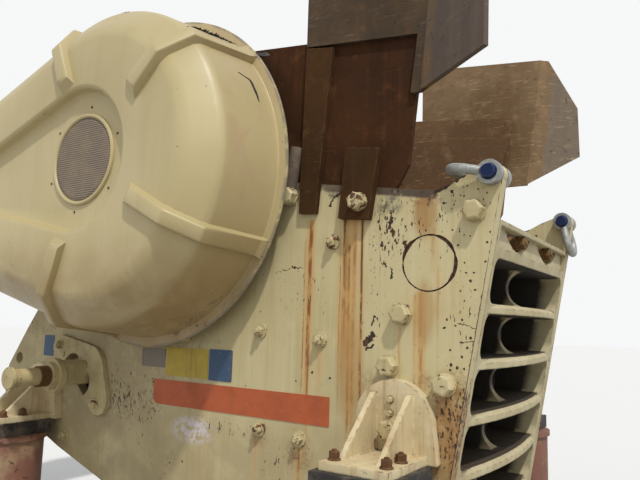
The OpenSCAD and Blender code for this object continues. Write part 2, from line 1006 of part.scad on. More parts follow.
// Front wing, folded outward about the slanting bend line of an upper chute plate
module wing(bend_low, bend_high, y) {
    slant = atan2(bend_high[0] - bend_low[0], bend_high[1] - bend_low[1]);
    tip = unslant([wing_front, 475] - bend_low, slant);
    turn = atan2(wing_out, tip[0]);
    translate([bend_low[0], -y - blend, bend_low[1]])
        rotate([0, slant, 0])
            rotate([0, 0, -turn])
                upright(-chute_t, 0)
                    polygon([
                        [-blend, blend],
                        unfold(tip, turn),
                        unfold(unslant([wing_front, 802] - bend_low, slant), turn),
                        unfold(unslant(bend_high + [40, -2] - bend_low, slant), turn),
                        [-blend, norm(bend_high - bend_low) - blend]
                    ]);
}

function unslant(p, a) = [p[0] * cos(a) - p[1] * sin(a), p[0] * sin(a) + p[1] * cos(a)];
function unfold(p, turn) = [p[0] / cos(turn), p[1]];

module chute_upper(bend_low, bend_high) {
    color(rust)
        at_pins() {
            upright(-chute_y - chute_t - fit, -chute_y - fit)
                polygon([
                    bend_low,
                    bend_high,
                    [-985, chute_line(chute_top - 80, -985)],
                    [-985, chute_line(chute_mid - 30, -985)],
                    [-340, chute_line(chute_mid - 30, -340)],
                    [-375, bend_low[1]]
                ]);
            wing(bend_low, bend_high, chute_y + fit);
        }
}

module drive_chute_upper() {
    chute_upper([-322, 417], [-262, chute_line(chute_top - 80, -262)]);
}

module off_chute_upper() {
    to_off_side()
        chute_upper([-231, 265], [-124, chute_line(chute_top - 80, -124)]);
}

// Liner plates on the inner faces of the lower chute walls
module chute_liners() {
    color(rust)
        at_pins()
            for (s = [0, 1])
                mirror([0, s, 0])
                    upright(-chute_y + chute_t + fit, -chute_y + 2 * chute_t)
                        polygon([
                            [-480, 60],
                            [-330, 590],
                            [-1400, 720],
                            [-1400, 160]
                        ]);
}

// Sloping plate across the back of the chute, over the pitman
module chute_rear_wall() {
    low = [-1402, 130];
    high = [-1520, chute_line(chute_mid, -1520) - 10];
    reach = chute_y - chute_t - fit;
    color(rust)
        at_pins()
            upright(-reach, reach)
                polygon([low, low + [-30, 0], high + [-30, 0], high]);
}

// Bars that hold the chute walls down on the side plates
module hold_downs() {
    y = outer_y + fit;
    color(rust)
        at_pins() {
            upright(-y - 42, -y)
                polygon([[-715, 189], [-529, 163], [-582, -182], [-751, -168]]);
            upright(-y - 30, -y)
                polygon([[-980, 770], [-815, 742], [-895, -132], [-997, -125]]);
            intersection() {
                bar_between([-1088, -18], [-1034, 236], 42, -y);
                translate([-1200, -y - 60, -60])
                    cube([300, 60, 360]);
            }
        }
}

module drive_hold_downs() {
    hold_downs();
}

module off_hold_downs() {
    to_off_side()
        hold_downs();
}

// Cast foot: an arched back plate, two sloping gussets and a bored base plate
module foot(back, drop) {
    arch_r = 190;
    plate_t = 55;
    y = outer_y + fit;
    gusset_x = 89;
    color(cream)
        at_pins()
            translate([-back, 0, -drop]) {
                difference() {
                    upright(-y - plate_t, -y)
                        difference() {
                            union() {
                                translate([0, 125])
                                    circle(arch_r);
                                polygon([[-212, -foot_t], [212, -foot_t], [190, 125], [-190, 125]]);
                            }
                            translate([-arch_r, -3 * arch_r - foot_t])
                                square([2 * arch_r, 2 * arch_r]);
                        }
                    bar_y(-9, 165, foot_hole_r, -y - plate_t - cut, -y + cut);
                    bar_y(-9, 225, foot_hole_r, -y - plate_t - cut, -y + cut);
                }
                for (s = [-1, 1])
                    translate([s * gusset_x - 14, -y, 0])
                        rotate([90, 0, 90])
                            linear_extrude(28)
                                polygon([
                                    [-plate_t + cut, 0],
                                    [-plate_t + cut, 255],
                                    [-plate_t - 25, 250],
                                    [-foot_reach + 70, 0]
                                ]);
                difference() {
                    translate([-150, -y - foot_reach, -foot_t])
                        cube([320, foot_reach, foot_t]);
                    for (x = [-110, 130], r = [60, 190])
                        translate([x, -y - foot_reach + r, -foot_t - cut])
                            cylinder(r = foot_hole_r, h = foot_t + 2 * cut);
                }
            }
}

module front_feet() {
    foot(front_back, front_drop);
    to_off_side()
        foot(front_back, front_drop);
}

module rear_feet() {
    foot(rear_back, rear_drop);
    to_off_side()
        foot(rear_back, rear_drop);
}

pedestal_y = outer_y + 15 + pedestal_r;

module rubber_pads() {
    color(dark)
        at_pins()
            for (p = [[front_back, front_drop], [rear_back, rear_drop]], s = [-1, 1])
                translate([-p[0] - 175, s * pedestal_y - 195, -p[1] - foot_t - pad_t + fit])
                    cube([370, 390, pad_t - 2 * fit]);
}

// A round pedestal with a rim plate, from the ground to the pad
module pedestal(back, drop) {
    h = pin_z - drop - foot_t - pad_t;
    for (s = [-1, 1])
        translate([pin_x - back + 10, s * pedestal_y, 0]) {
            cylinder(r = pedestal_r - 15, h = h - 30);
            translate([0, 0, h - 30])
                cylinder(r = pedestal_r, h = 30);
            cylinder(r = pedestal_r, h = 25);
        }
}

module front_pedestals() {
    color(red)
        pedestal(front_back, front_drop);
}

module rear_pedestals() {
    color(red)
        pedestal(rear_back, rear_drop);
}

// Setting unit: a curved flange, a yoke, a collar with rings and a rod along Y
module setting_unit() {
    y = outer_y + fit;
    color(cream)
        at_pins() {
            upright(-y - 32, -y)
                difference() {
                    hull() {
                        translate([-2900, -900])
                            circle(84);
                        translate([-2610, -1020])
                            circle(150);
                        translate([-2492, -1210])
                            circle(92);
                    }
                    hull() {
                        translate([-2760, -1000])
                            circle(70);
                        translate([-2660, -1110])
                            circle(80);
                        translate([-2960, -1260])
                            circle(160);
                    }
                }
            upright(-y - 190, -y)
                translate([opening_x - 75, opening_z - 60])
                    round_rect(150, 150, 30);
            bar_y(opening_x, opening_z, 106, -y - 230, -y - 190);
            bar_y(opening_x, opening_z, 82, -y - 262, -y - 230);
            bar_y(opening_x, opening_z, 52, -y - 500, -y - 262);
            bar_y(opening_x, opening_z, 64, -y - 512, -y - 490);
            bar_y(opening_x, opening_z, 60, -y - 40, -wedge_y - fit);
        }
}

module drive_setting_unit() {
    setting_unit();
}

module off_setting_unit() {
    to_off_side()
        setting_unit();
}

// Jaw clamps in the recess: a screw through a lug each side, with a block, a washer and a nut
module jaw_clamps() {
    y = inner_y - flange_t;
    washer_y = clamp_y - 20;
    color(rust)
        at_pins()
            for (s = [0, 1])
                mirror([0, s, 0]) {
                    bar_y(clamp_x, clamp_z, clamp_r, -y + fit, -washer_y + 90);
                    bar_y(clamp_x, clamp_z, 38, -y + fit, -y + 34);
                    bar_y(clamp_x, clamp_z, 46, -washer_y + fit, -washer_y + 12);
                    translate([clamp_x, -washer_y + 12, clamp_z])
                        rotate([-90, 0, 0])
                            cylinder(r = 36, h = 44, $fn = 6);
                    translate([clamp_x - 70, -y + 60, clamp_z - 50])
                        cube([84, 110, 100]);
                }
}

// Shackle bow with its crown pointing along +X from the pin
module shackle_bow(turn) {
    c = bow_centre;
    open = acos(bow_mid_r / norm([c, eye_y])) + atan2(eye_y, c);
    start = [c, 0] + polar(bow_mid_r, 180 - open);
    leg = [c, 0] + polar(bow_mid_r, 164 - open) - [0, eye_y];
    rotate([0, -turn, 0])
        difference() {
            union() {
                difference() {
                    translate([c, 0, 0])
                        rotate_extrude($fn = 96)
                            translate([bow_mid_r, 0])
                                circle(d = bow_d, $fn = 32);
                    translate([c - 3 * bow_mid_r, -bow_mid_r * 2, -bow_d])
                        cube([start[0] - c + 3 * bow_mid_r, 4 * bow_mid_r, 2 * bow_d]);
                }
                for (s = [-1, 1]) {
                    translate([0, s * eye_y, 0])
                        rotate([0, 0, s * atan2(leg[1], leg[0])])
                            rotate([0, 90, 0])
                                cylinder(d = bow_d - 1, h = norm(leg), $fn = 32);
                    translate([0, s * eye_y - bow_d / 2, 0])
                        rotate([-90, 0, 0])
                            cylinder(r = eye_r, h = bow_d);
                }
            }
            rotate([90, 0, 0])
                cylinder(d = shackle_pin_d + 2 * fit, h = 4 * eye_y, center = true);
            for (s = [0, 1])
                mirror([0, s, 0])
                    translate([0, eye_y + bow_d / 2, 0])
                        rotate([-90, 0, 0])
                            cylinder(r = pin_head_r + 2, h = bow_d);
        }
}

// Shackle pin with a round head at both ends
module shackle_pin() {
    reach = eye_y + bow_d / 2;
    rotate([90, 0, 0]) {
        cylinder(d = shackle_pin_d, h = 2 * reach + 10, center = true);
        for (s = [0, 1])
            mirror([0, 0, s])
                translate([0, 0, reach + fit])
                    cylinder(r1 = pin_head_r, r2 = pin_head_r - 9, h = 22);
    }
}

module on_drive_lug() {
    at_pins()
        translate([lug[0], -outer_y + side_t / 2, lug[1]])
            children();
}

module drive_shackle_bow() {
    color(steel)
        on_drive_lug()
            shackle_bow(rest_back);
}

module drive_shackle_pin() {
    color(blue)
        on_drive_lug()
            shackle_pin();
}

module off_shackle_bow() {
    color(steel)
        to_off_side()
            on_drive_lug()
                shackle_bow(hang);
}

module off_shackle_pin() {
    color(blue)
        to_off_side()
            on_drive_lug()
                shackle_pin();
}

drive_side_plate();
off_side_plate();
front_frame();
rear_frame();
cheek_plates();
fixed_jaw_die();
moving_jaw_die();
pitman();
toggle_plate();
setting_wedges();
tension_rods();
eccentric_shaft();
drive_bearing_housing();
off_bearing_housing();
drive_flywheel();
off_flywheel();
drive_belts();
motor();
motor_pulley();
motor_base();
drive_guard();
off_guard();
drive_guard_screen();
off_guard_screen();
guard_brackets();
drive_chute_lower();
drive_chute_upper();
off_chute_lower();
off_chute_upper();
chute_liners();
chute_rear_wall();
drive_hold_downs();
off_hold_downs();
front_feet();
rear_feet();
rubber_pads();
front_pedestals();
rear_pedestals();
drive_setting_unit();
off_setting_unit();
jaw_clamps();
drive_shackle_bow();
drive_shackle_pin();
off_shackle_bow();
off_shackle_pin();
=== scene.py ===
"""Dresses the jaw crusher: finishes, moulded guards, bolts, bare label plates, fittings and the studio."""

import json
import math
import random
from contextlib import contextmanager
from functools import reduce

import bmesh
import bpy
from mathutils import Matrix, Vector

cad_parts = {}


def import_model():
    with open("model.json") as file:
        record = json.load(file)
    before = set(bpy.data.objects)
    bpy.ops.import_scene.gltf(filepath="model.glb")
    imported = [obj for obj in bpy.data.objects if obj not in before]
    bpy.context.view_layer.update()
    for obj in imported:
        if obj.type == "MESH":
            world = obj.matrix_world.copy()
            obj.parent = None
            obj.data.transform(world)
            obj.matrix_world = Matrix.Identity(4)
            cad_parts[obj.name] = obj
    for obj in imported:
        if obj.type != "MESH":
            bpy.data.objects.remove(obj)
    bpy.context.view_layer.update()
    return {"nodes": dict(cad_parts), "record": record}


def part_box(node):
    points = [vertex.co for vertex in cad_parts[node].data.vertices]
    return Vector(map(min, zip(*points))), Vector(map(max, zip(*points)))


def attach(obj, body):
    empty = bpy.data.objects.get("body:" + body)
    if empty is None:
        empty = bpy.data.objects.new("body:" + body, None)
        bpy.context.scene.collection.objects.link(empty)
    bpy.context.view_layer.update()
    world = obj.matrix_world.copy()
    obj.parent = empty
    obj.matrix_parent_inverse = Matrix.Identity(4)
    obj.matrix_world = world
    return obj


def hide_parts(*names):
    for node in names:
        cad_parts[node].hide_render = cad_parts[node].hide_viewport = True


bl_info = {
    "name": "Jaw Crusher Dressing",
    "version": (1, 0, 0),
    "blender": (4, 5, 0),
    "location": "View3D > Sidebar > Crusher",
    "description": "Adds guards, bolts, plates, fittings and worn finishes to the jaw crusher frame",
    "category": "Object",
}

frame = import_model()

# Sizes are in millimetres, unless they say metres. Places are measured from the datum: the lifting pins stand
# 8 mm in front of it and 12 mm below it
PIN = Vector((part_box("drive_shackle_pin")[0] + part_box("drive_shackle_pin")[1]) / 2)
DATUM = PIN - Vector((0.008, 0, -0.012))
OUTER = -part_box("drive_side_plate")[0].y
# The flywheels' shaft and the motor's, as x and z from the datum
SHAFT = (-2006, 130)
MOTOR = (-3920, 55)
MOTOR_HEIGHT, MOTOR_END = 315, 501
# Each foot: how far back from the datum and below it. Then the rod of a setting unit
FEET = ((433, 1240), (3085, 1325))
SETTING = (-2690, -1060)
# The round spigot disc of a side plate, and its radius in metres
SPIGOT, SPIGOT_R = (-285, -398), 0.129
# The guards, from the face outward: radii, distances from the middle of the crusher, widths
FACE_R, FACE_END_R = 735, 190
RIM_Y, SHOULDER_Y, FACE_Y = 855, 1255, 1375
SHOULDER_W, DRUM_FLARE, RIM_W = 150, 42, 57
DRUM_R = FACE_R + SHOULDER_W + DRUM_FLARE
RIM_R = DRUM_R + RIM_W
CHANNEL_DEPTH = 60
SCREEN_R = 245
SCREEN = (-2080, 166)
# The camera as it was solved, with its turn in radians, and the way that the lamp lies
LENS_MM, YAW, PITCH, ROLL = 34.875, 0.57773, 0.129963, -0.029667
CAMERA_AT = (DATUM.x + 0.83269, -3.382, 1.600)
LAMP_FROM = (0.42, -0.35, 0.836)
BODY = "crusher"
SIDES = {"drive": -1, "off": 1}


def world(x, y, z):
    """A point in metres from millimetres beside the pins: y is measured from the middle of the crusher."""
    return Vector((DATUM.x + x / 1000, y / 1000, DATUM.z + z / 1000))


def beside(x, out, z, side=-1):
    """A point so many millimetres outside the outer face of a side plate."""
    return Vector((DATUM.x + x / 1000, side * (OUTER + out / 1000), DATUM.z + z / 1000))


@contextmanager
def editing(piece, mode="FACE"):
    """Edit mode on one piece, giving its edit mesh."""
    bpy.context.view_layer.objects.active = piece
    bpy.ops.object.mode_set(mode="EDIT")
    bpy.ops.mesh.select_mode(type=mode)
    yield bmesh.from_edit_mesh(piece.data)
    bpy.ops.object.mode_set(mode="OBJECT")


def begin(name, primitive, **settings):
    """A new piece from a primitive, with everything else deselected."""
    bpy.ops.object.select_all(action="DESELECT")
    primitive(**settings)
    return named(bpy.context.object, name)


def named(piece, name):
    piece.name = piece.data.name = name
    return piece


def pick(piece, test, kind="faces"):
    """Selects the faces, edges or vertices that pass a test, on the piece in edit mode, and nothing else."""
    mesh = bmesh.from_edit_mesh(piece.data)
    bpy.ops.mesh.select_all(action="DESELECT")
    found = [part for part in getattr(mesh, kind) if test(part)]
    for part in found:
        part.select_set(True)
    mesh.select_flush_mode()
    if not found:
        raise RuntimeError("nothing to select on the piece")


def only(piece):
    """Selects one piece and nothing else."""
    bpy.ops.object.select_all(action="DESELECT")
    piece.select_set(True)
    bpy.context.view_layer.objects.active = piece


def face_outward():
    """Turns every face of the piece in edit mode outward."""
    bpy.ops.mesh.select_all(action="SELECT")
    bpy.ops.mesh.normals_make_consistent(inside=False)


def settle(piece):
    """Puts a piece's place into its mesh."""
    only(piece)
    bpy.ops.object.transform_apply(location=True, rotation=True, scale=True)
    return piece


def modify(piece, kind, **settings):
    """Adds a modifier and applies it."""
    only(piece)
    modifier = piece.modifiers.new(kind.title(), kind)
    for key, value in settings.items():
        setattr(modifier, key, value)
    bpy.ops.object.modifier_apply(modifier=modifier.name)
    return piece


def smooth(piece, angle=35):
    """Shades a piece smooth, but for its edges sharper than an angle in degrees."""
    only(piece)
    bpy.ops.object.shade_smooth_by_angle(angle=math.radians(angle))
    return piece


def facing(direction, spin=0):
    """A rotation that turns +Z to a direction."""
    turn = Vector((0, 0, 1)).rotation_difference(Vector(direction)).to_matrix().to_4x4()
    return turn @ Matrix.Rotation(math.radians(spin), 4, "Z")


def copies(pattern, name, places):
    """One piece made of copies of a pattern, a matrix for each, and the pattern removed."""
    made = []
    for place in places:
        copy = pattern.copy()
        copy.data = pattern.data.copy()
        bpy.context.scene.collection.objects.link(copy)
        copy.data.transform(place)
        if place.determinant() < 0:
            copy.data.flip_normals()
        made.append(copy)
    bpy.data.objects.remove(pattern)
    return join_as(name, made)


def join_as(name, pieces):
    """Joins pieces into one."""
    only(pieces[0])
    for piece in pieces:
        piece.select_set(True)
    bpy.ops.object.join()
    return named(bpy.context.object, name)


def finished(piece, finish, body=BODY):
    """Gives a piece its finish and the body that it moves with."""
    piece.data.materials.clear()
    piece.data.materials.append(finish)
    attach(piece, body)
    return piece


def on_side(x, out, z, side, spin=0.0):
    """The place of a fitting that stands out from a side plate."""
    return Matrix.Translation(beside(x, out, z, side)) @ facing((0, side, 0), spin)


def torus(name, radius, tube, place, around, across):
    """A round ring with its axis along Y."""
    ring = begin(
        name,
        bpy.ops.mesh.primitive_torus_add,
        major_segments=around,
        minor_segments=across,
        major_radius=radius,
        minor_radius=tube,
        location=place,
        rotation=(math.pi / 2, 0, 0),
    )
    return settle(ring)


def hex_bolt(across, height, washer=1.25, washer_t=7, stud=0):
    """A hexagon head on a round washer along +Z, in millimetres; stud adds a thread end beyond it."""
    mm = 0.001
    piece = begin(
        "bolt",
        bpy.ops.mesh.primitive_cylinder_add,
        vertices=6,
        radius=across / math.sqrt(3) * mm,
        depth=height * mm,
        location=(0, 0, (washer_t + height / 2) * mm),
    )
    settle(piece)
    with editing(piece):
        top = (washer_t + height) * mm
        pick(piece, lambda f: f.normal.z > 0.9)
        bpy.ops.mesh.bevel(offset=across * 0.07 * mm, segments=1, affect="EDGES")
        pick(piece, lambda f: f.normal.z > 0.9 and f.calc_center_median().z > top - 1e-4)
        bpy.ops.mesh.inset(thickness=across * 0.07 * mm)
        bpy.ops.transform.translate(value=(0, 0, 0.02 * across * mm))
        bpy.ops.mesh.primitive_cylinder_add(
            vertices=28,
            radius=across / 2 * washer * mm,
            depth=washer_t * mm,
            location=(0, 0, washer_t / 2 * mm),
        )
        bpy.ops.mesh.select_all(action="DESELECT")
        if stud:
            bpy.ops.mesh.primitive_cylinder_add(
                vertices=20,
                radius=across * 0.27 * mm,
                depth=(height + stud) * mm,
                location=(0, 0, (washer_t + (height + stud) / 2) * mm),
            )
            pick(piece, lambda f: f.normal.z > 0.9 and f.calc_center_median().z > top + stud * mm - 1e-5)
            bpy.ops.mesh.bevel(offset=across * 0.04 * mm, segments=1, affect="EDGES")
    return piece


def fasteners(name, bolt, places, finish="bolt_paint"):
    """Copies of a bolt at many places, as one piece with its finish."""
    return finished(copies(bolt, name, places), FINISHES[finish])


def weld_bead(name, runs, width=14):
    """Rippled weld seams along lists of points in metres, as one piece."""
    rng = random.Random(7)
    rings = 6
    bpy.ops.object.select_all(action="DESELECT")
    mesh = bmesh.new()
    for run in runs:
        points = []
        for a, b in zip(run, run[1:]):
            steps = max(2, int((b - a).length / 0.012))
            points += [a.lerp(b, i / steps) for i in range(steps)]
        points.append(run[-1])
        last = None
        for i, point in enumerate(points):
            ahead = (points[min(i + 1, len(points) - 1)] - points[max(i - 1, 0)]).normalized()
            side = ahead.orthogonal().normalized()
            up = ahead.cross(side)
            r = width / 2000 * (1 + 0.14 * (i % 2) + rng.uniform(-0.12, 0.12))
            if i in (0, len(points) - 1):
                r *= 0.3
            ring = [
                mesh.verts.new(point + side * r * math.cos(t) + up * r * math.sin(t))
                for t in (math.tau * k / rings for k in range(rings))
            ]
            if last:
                for k in range(rings):
                    mesh.faces.new((last[k], last[(k + 1) % rings], ring[(k + 1) % rings], ring[k]))
            else:
                mesh.faces.new(ring[::-1])
            last = ring
        mesh.faces.new(last)
    data = bpy.data.meshes.new(name)
    mesh.to_mesh(data)
    mesh.free()
    piece = bpy.data.objects.new(name, data)
    bpy.context.scene.collection.objects.link(piece)
    return smooth(piece, 60)


def tone(code):
    """A linear colour from its hexadecimal screen value."""
    parts = [int(code[i : i + 2], 16) / 255 for i in (1, 3, 5)]
    return tuple(c / 12.92 if c <= 0.04045 else ((c + 0.055) / 1.055) ** 2.4 for c in parts)


class Nodes:
    """Builds a node tree with short calls."""

    def __init__(self, tree):
        self.tree = tree

    def node(self, kind, inputs=None, **settings):
        """A new node with its settings, and its inputs linked to sockets or set to values."""
        made = self.tree.nodes.new(kind)
        for key, value in settings.items():
            setattr(made, key, value)
        for key, value in (inputs or {}).items():
            self.link(value, made.inputs[key])
        return made

    def link(self, value, socket):
        """Links a socket to another, or sets it to a value; a colour may be given by its code."""
        if isinstance(value, bpy.types.NodeSocket):
            self.tree.links.new(value, socket)
            return
        if isinstance(value, str):
            value = tone(value)
        if isinstance(value, tuple) and len(value) == 3 and socket.type == "RGBA":
            value = (*value, 1)
        socket.default_value = value

    def calc(self, what, *values, clamp=False):
        return self.node("ShaderNodeMath", dict(enumerate(values)), operation=what, use_clamp=clamp).outputs[0]

    def plus(self, a, b):
        return self.calc("ADD", a, b)

    def minus(self, a, b):
        return self.calc("SUBTRACT", a, b)

    def absolute(self, value):
        return self.calc("ABSOLUTE", value)

    def over(self, a, b):
        return self.calc("GREATER_THAN", a, b)

    def under(self, a, b):
        return self.calc("LESS_THAN", a, b)

    def times(self, *values):
        return reduce(lambda a, b: self.calc("MULTIPLY", a, b), values)

    def most(self, *values):
        return reduce(lambda a, b: self.calc("MAXIMUM", a, b), values)

    def by_ray(self, lighting, seen):
        """One shader for the light that is given, another for what is seen, also in mirrors and through glass."""
        path = self.node("ShaderNodeLightPath").outputs
        ray = self.most(path["Is Camera Ray"], path["Is Glossy Ray"], path["Is Transmission Ray"])
        return self.node("ShaderNodeMixShader", {0: ray, 1: lighting.outputs[0], 2: seen.outputs[0]}).outputs[0]


class Finish(Nodes):
    """Builds a procedural material, whose paint is laid on in coats. Most calls give back a socket."""

    def __init__(self, name, paint):
        self.material = bpy.data.materials.new(name)
        self.material.use_nodes = True
        super().__init__(self.material.node_tree)
        self.paint = paint
        self.shader = self.tree.nodes["Principled BSDF"]
        self.place = self.node("ShaderNodeTexCoord").outputs["Object"]
        self.x, self.y, self.z = self.node("ShaderNodeSeparateXYZ", {0: self.place}).outputs
        self.height = None

    def vector(self, what, *values, **named_inputs):
        """A vector sum: a number where it measures, otherwise a vector."""
        made = self.node("ShaderNodeVectorMath", {**dict(enumerate(values)), **named_inputs}, operation=what)
        return made.outputs["Value" if what in ("DISTANCE", "DOT_PRODUCT") else "Vector"]

    def length(self, a, b):
        """The length of a flat step with two sides."""
        return self.calc("SQRT", self.plus(self.times(a, a), self.times(b, b)))

    def scaled(self, x, y, z, turn=0):
        """The place, stretched, and turned about Y by an angle in degrees."""
        inputs = {"Vector": self.place, "Scale": (x, y, z), "Rotation": (0, math.radians(turn), 0)}
        return self.node("ShaderNodeMapping", inputs).outputs[0]

    def noise(self, scale, detail=4, rough=0.55, warp=0.0, at=None):
        inputs = {"Vector": at or self.place, "Scale": scale, "Detail": detail}
        inputs.update({"Roughness": rough, "Distortion": warp})
        return self.node("ShaderNodeTexNoise", inputs).outputs["Fac"]

    def level(self, value, low, high, bottom=0.0, top=1.0):
        """Maps low..high to bottom..top, held outside."""
        inputs = {"Value": value, "From Min": low, "From Max": high, "To Min": bottom, "To Max": top}
        return self.node("ShaderNodeMapRange", inputs, interpolation_type="SMOOTHSTEP").outputs[0]

    def surface_normal(self):
        return self.node("ShaderNodeNewGeometry").outputs["Normal"]

    def mix(self, factor, a, b):
        return self.node("ShaderNodeMix", {0: factor, 6: a, 7: b}, data_type="RGBA").outputs[2]

    def coat(self, colour, *shares):
        """Lays a colour over the paint, by shares that are multiplied."""
        self.paint = self.mix(self.times(*shares), self.paint, colour)

    def edge_wear(self, radius, low=0.02, high=0.12):
        """How much a surface turns within a small radius: bright on edges."""
        bevel = self.node("ShaderNodeBevel", {"Radius": radius}, samples=4)
        turned = self.vector("DOT_PRODUCT", bevel.outputs[0], self.surface_normal())
        return self.level(self.minus(1.0, turned), low, high)

    def ragged(self, scale, amount):
        """The place on a side plate, without its depth and shaken by a noise, for ragged outlines."""
        flat = self.vector("MULTIPLY", self.place, (1, 0, 1))
        shake = self.node("ShaderNodeTexNoise", {"Vector": self.place, "Scale": scale, "Detail": 3})
        centred = self.vector("SUBTRACT", shake.outputs["Color"], (0.5, 0, 0.5))
        return self.vector("MULTIPLY_ADD", centred, (amount, 0, amount), flat)

    def near(self, at, x, z, radius):
        """How far a place is from a point of a side plate, in radii."""
        return self.times(self.vector("DISTANCE", at, flat_point(x, z)), 1000 / radius)

    def along(self, at, start, end, radius):
        """How far a place is from a line between two points of a side plate, in radii."""
        run = flat_point(*end) - flat_point(*start)
        offset = self.vector("SUBTRACT", at, flat_point(*start))
        share = self.vector("DOT_PRODUCT", offset, run / run.length_squared)
        foot = self.vector("SCALE", run, Scale=self.calc("MULTIPLY", share, 1.0, clamp=True))
        return self.times(self.vector("DISTANCE", offset, foot), 1000 / radius)

    def bumps(self, *layers):
        """The height that the bump is made from: what each layer follows, and how high it stands, in metres."""
        self.height = reduce(self.plus, [self.times(*layer) for layer in layers])

    def done(self, rough, metal=0.0, soft_edge=0.0, **plain):
        """Sets the shader and gives back the material."""
        names = {key: key.replace("_", " ").title().replace("Ior", "IOR") for key in plain}
        inputs = {"Base Color": self.paint, "Roughness": rough, "Metallic": metal}
        inputs.update((names[key], value) for key, value in plain.items())
        normal = None
        if soft_edge:
            normal = self.node("ShaderNodeBevel", {"Radius": soft_edge}, samples=4).outputs[0]
        if self.height is not None:
            bump = {"Strength": 1.0, "Distance": 1.0, "Height": self.height}
            if normal:
                bump["Normal"] = normal
            normal = self.node("ShaderNodeBump", bump).outputs[0]
        if normal:
            inputs["Normal"] = normal
        for key, value in inputs.items():
            self.link(value, self.shader.inputs[key])
        return self.material


DARK_RUST = "#46301f"
BARE = "#2b241c"
DUST = "#a3926f"
# Degrees in a radian, near enough for paint, and how far below the shaft's level a fan of scratches lies
DEGREES, FAN_AT = 57.3, 102
# The slope of the frame's front and how many metres it stands before the datum, then the slope of the plates' top
FRONT_SLOPE, FRONT_OUT = math.tan(math.radians(10.33)), 0.063
TOP_SLOPE = math.tan(math.radians(8.2))


def place_x(x):
    return DATUM.x + x / 1000


def place_z(z):
    return DATUM.z + z / 1000


def flat_point(x, z):
    """A point of a side plate without its depth."""
    return Vector((place_x(x), 0, place_z(z)))


def streak(f, x, width, top, bottom, wander):
    """A run of rust down a plate: its middle and width, its top and lower end in millimetres from the datum."""
    off = f.absolute(f.minus(f.plus(f.x, wander), place_x(x)))
    across = f.level(off, width / 2000, width / 6000)
    down = f.times(
        f.level(f.z, place_z(top + 12), place_z(top - 12)),
        f.level(f.z, place_z(bottom - 120), place_z(bottom + 160)),
    )
    return f.times(across, down)


def ring_distance(f, x, z):
    """How far a point of a side plate is from a centre."""
    return f.length(f.minus(f.x, place_x(x)), f.minus(f.z, place_z(z)))


def spot(f, x, z, rx, rz):
    """A soft patch on a side plate: 1 inside, 0 outside."""
    dx = f.calc("DIVIDE", f.minus(f.x, place_x(x)), rx / 1000)
    dz = f.calc("DIVIDE", f.minus(f.z, place_z(z)), rz / 1000)
    return f.level(f.length(dx, dz), 1.0, 0.4)


def behind_front(f):
    """How far a point lies behind the sloping front of the frame."""
    front = f.plus(f.times(f.z, FRONT_SLOPE), DATUM.x + FRONT_OUT - DATUM.z * FRONT_SLOPE)
    return f.minus(front, f.x)


# Layers of each kind of stain, and of painted shade: the noise that breaks it up, its two limits, its least share
# and its colour
STAINS = {
    "soot": [("grain", 0.4, 0.62, 0, "#46433b")],
    "specks": [("grain", 0.56, 0.62, 0, "#4a4335")],
    "chalk": [("grain", 0.42, 0.55, 0, "#c3babb")],
    "ochre": [("runs", 0.25, 0.5, 0.5, "#9c7845"), ("runs", 0.5, 0.64, 0, "#80592f")],
    "tan": [("runs", 0.3, 0.66, 0, "#b18a52")],
    # shade is painted shade, not a stain: a grey-brown laid where the guard keeps light off the plate
    "shade": [("grain", 0.3, 0.6, 0, "#94876a")],
    "rust": [("grain", 0.36, 0.62, 0, "#8f6a3d"), ("fine", 0.56, 0.66, 0, "#46301f")],
}


def tint(f, noises, kind, x, z, rx, rz, amount):
    """One stained area of a side plate, or one patch of painted shade."""
    area = spot(f, x, z, rx, rz)
    for noise, low, high, least, colour in STAINS[kind]:
        f.coat(colour, area, f.level(noises[noise], low, high, least), amount)


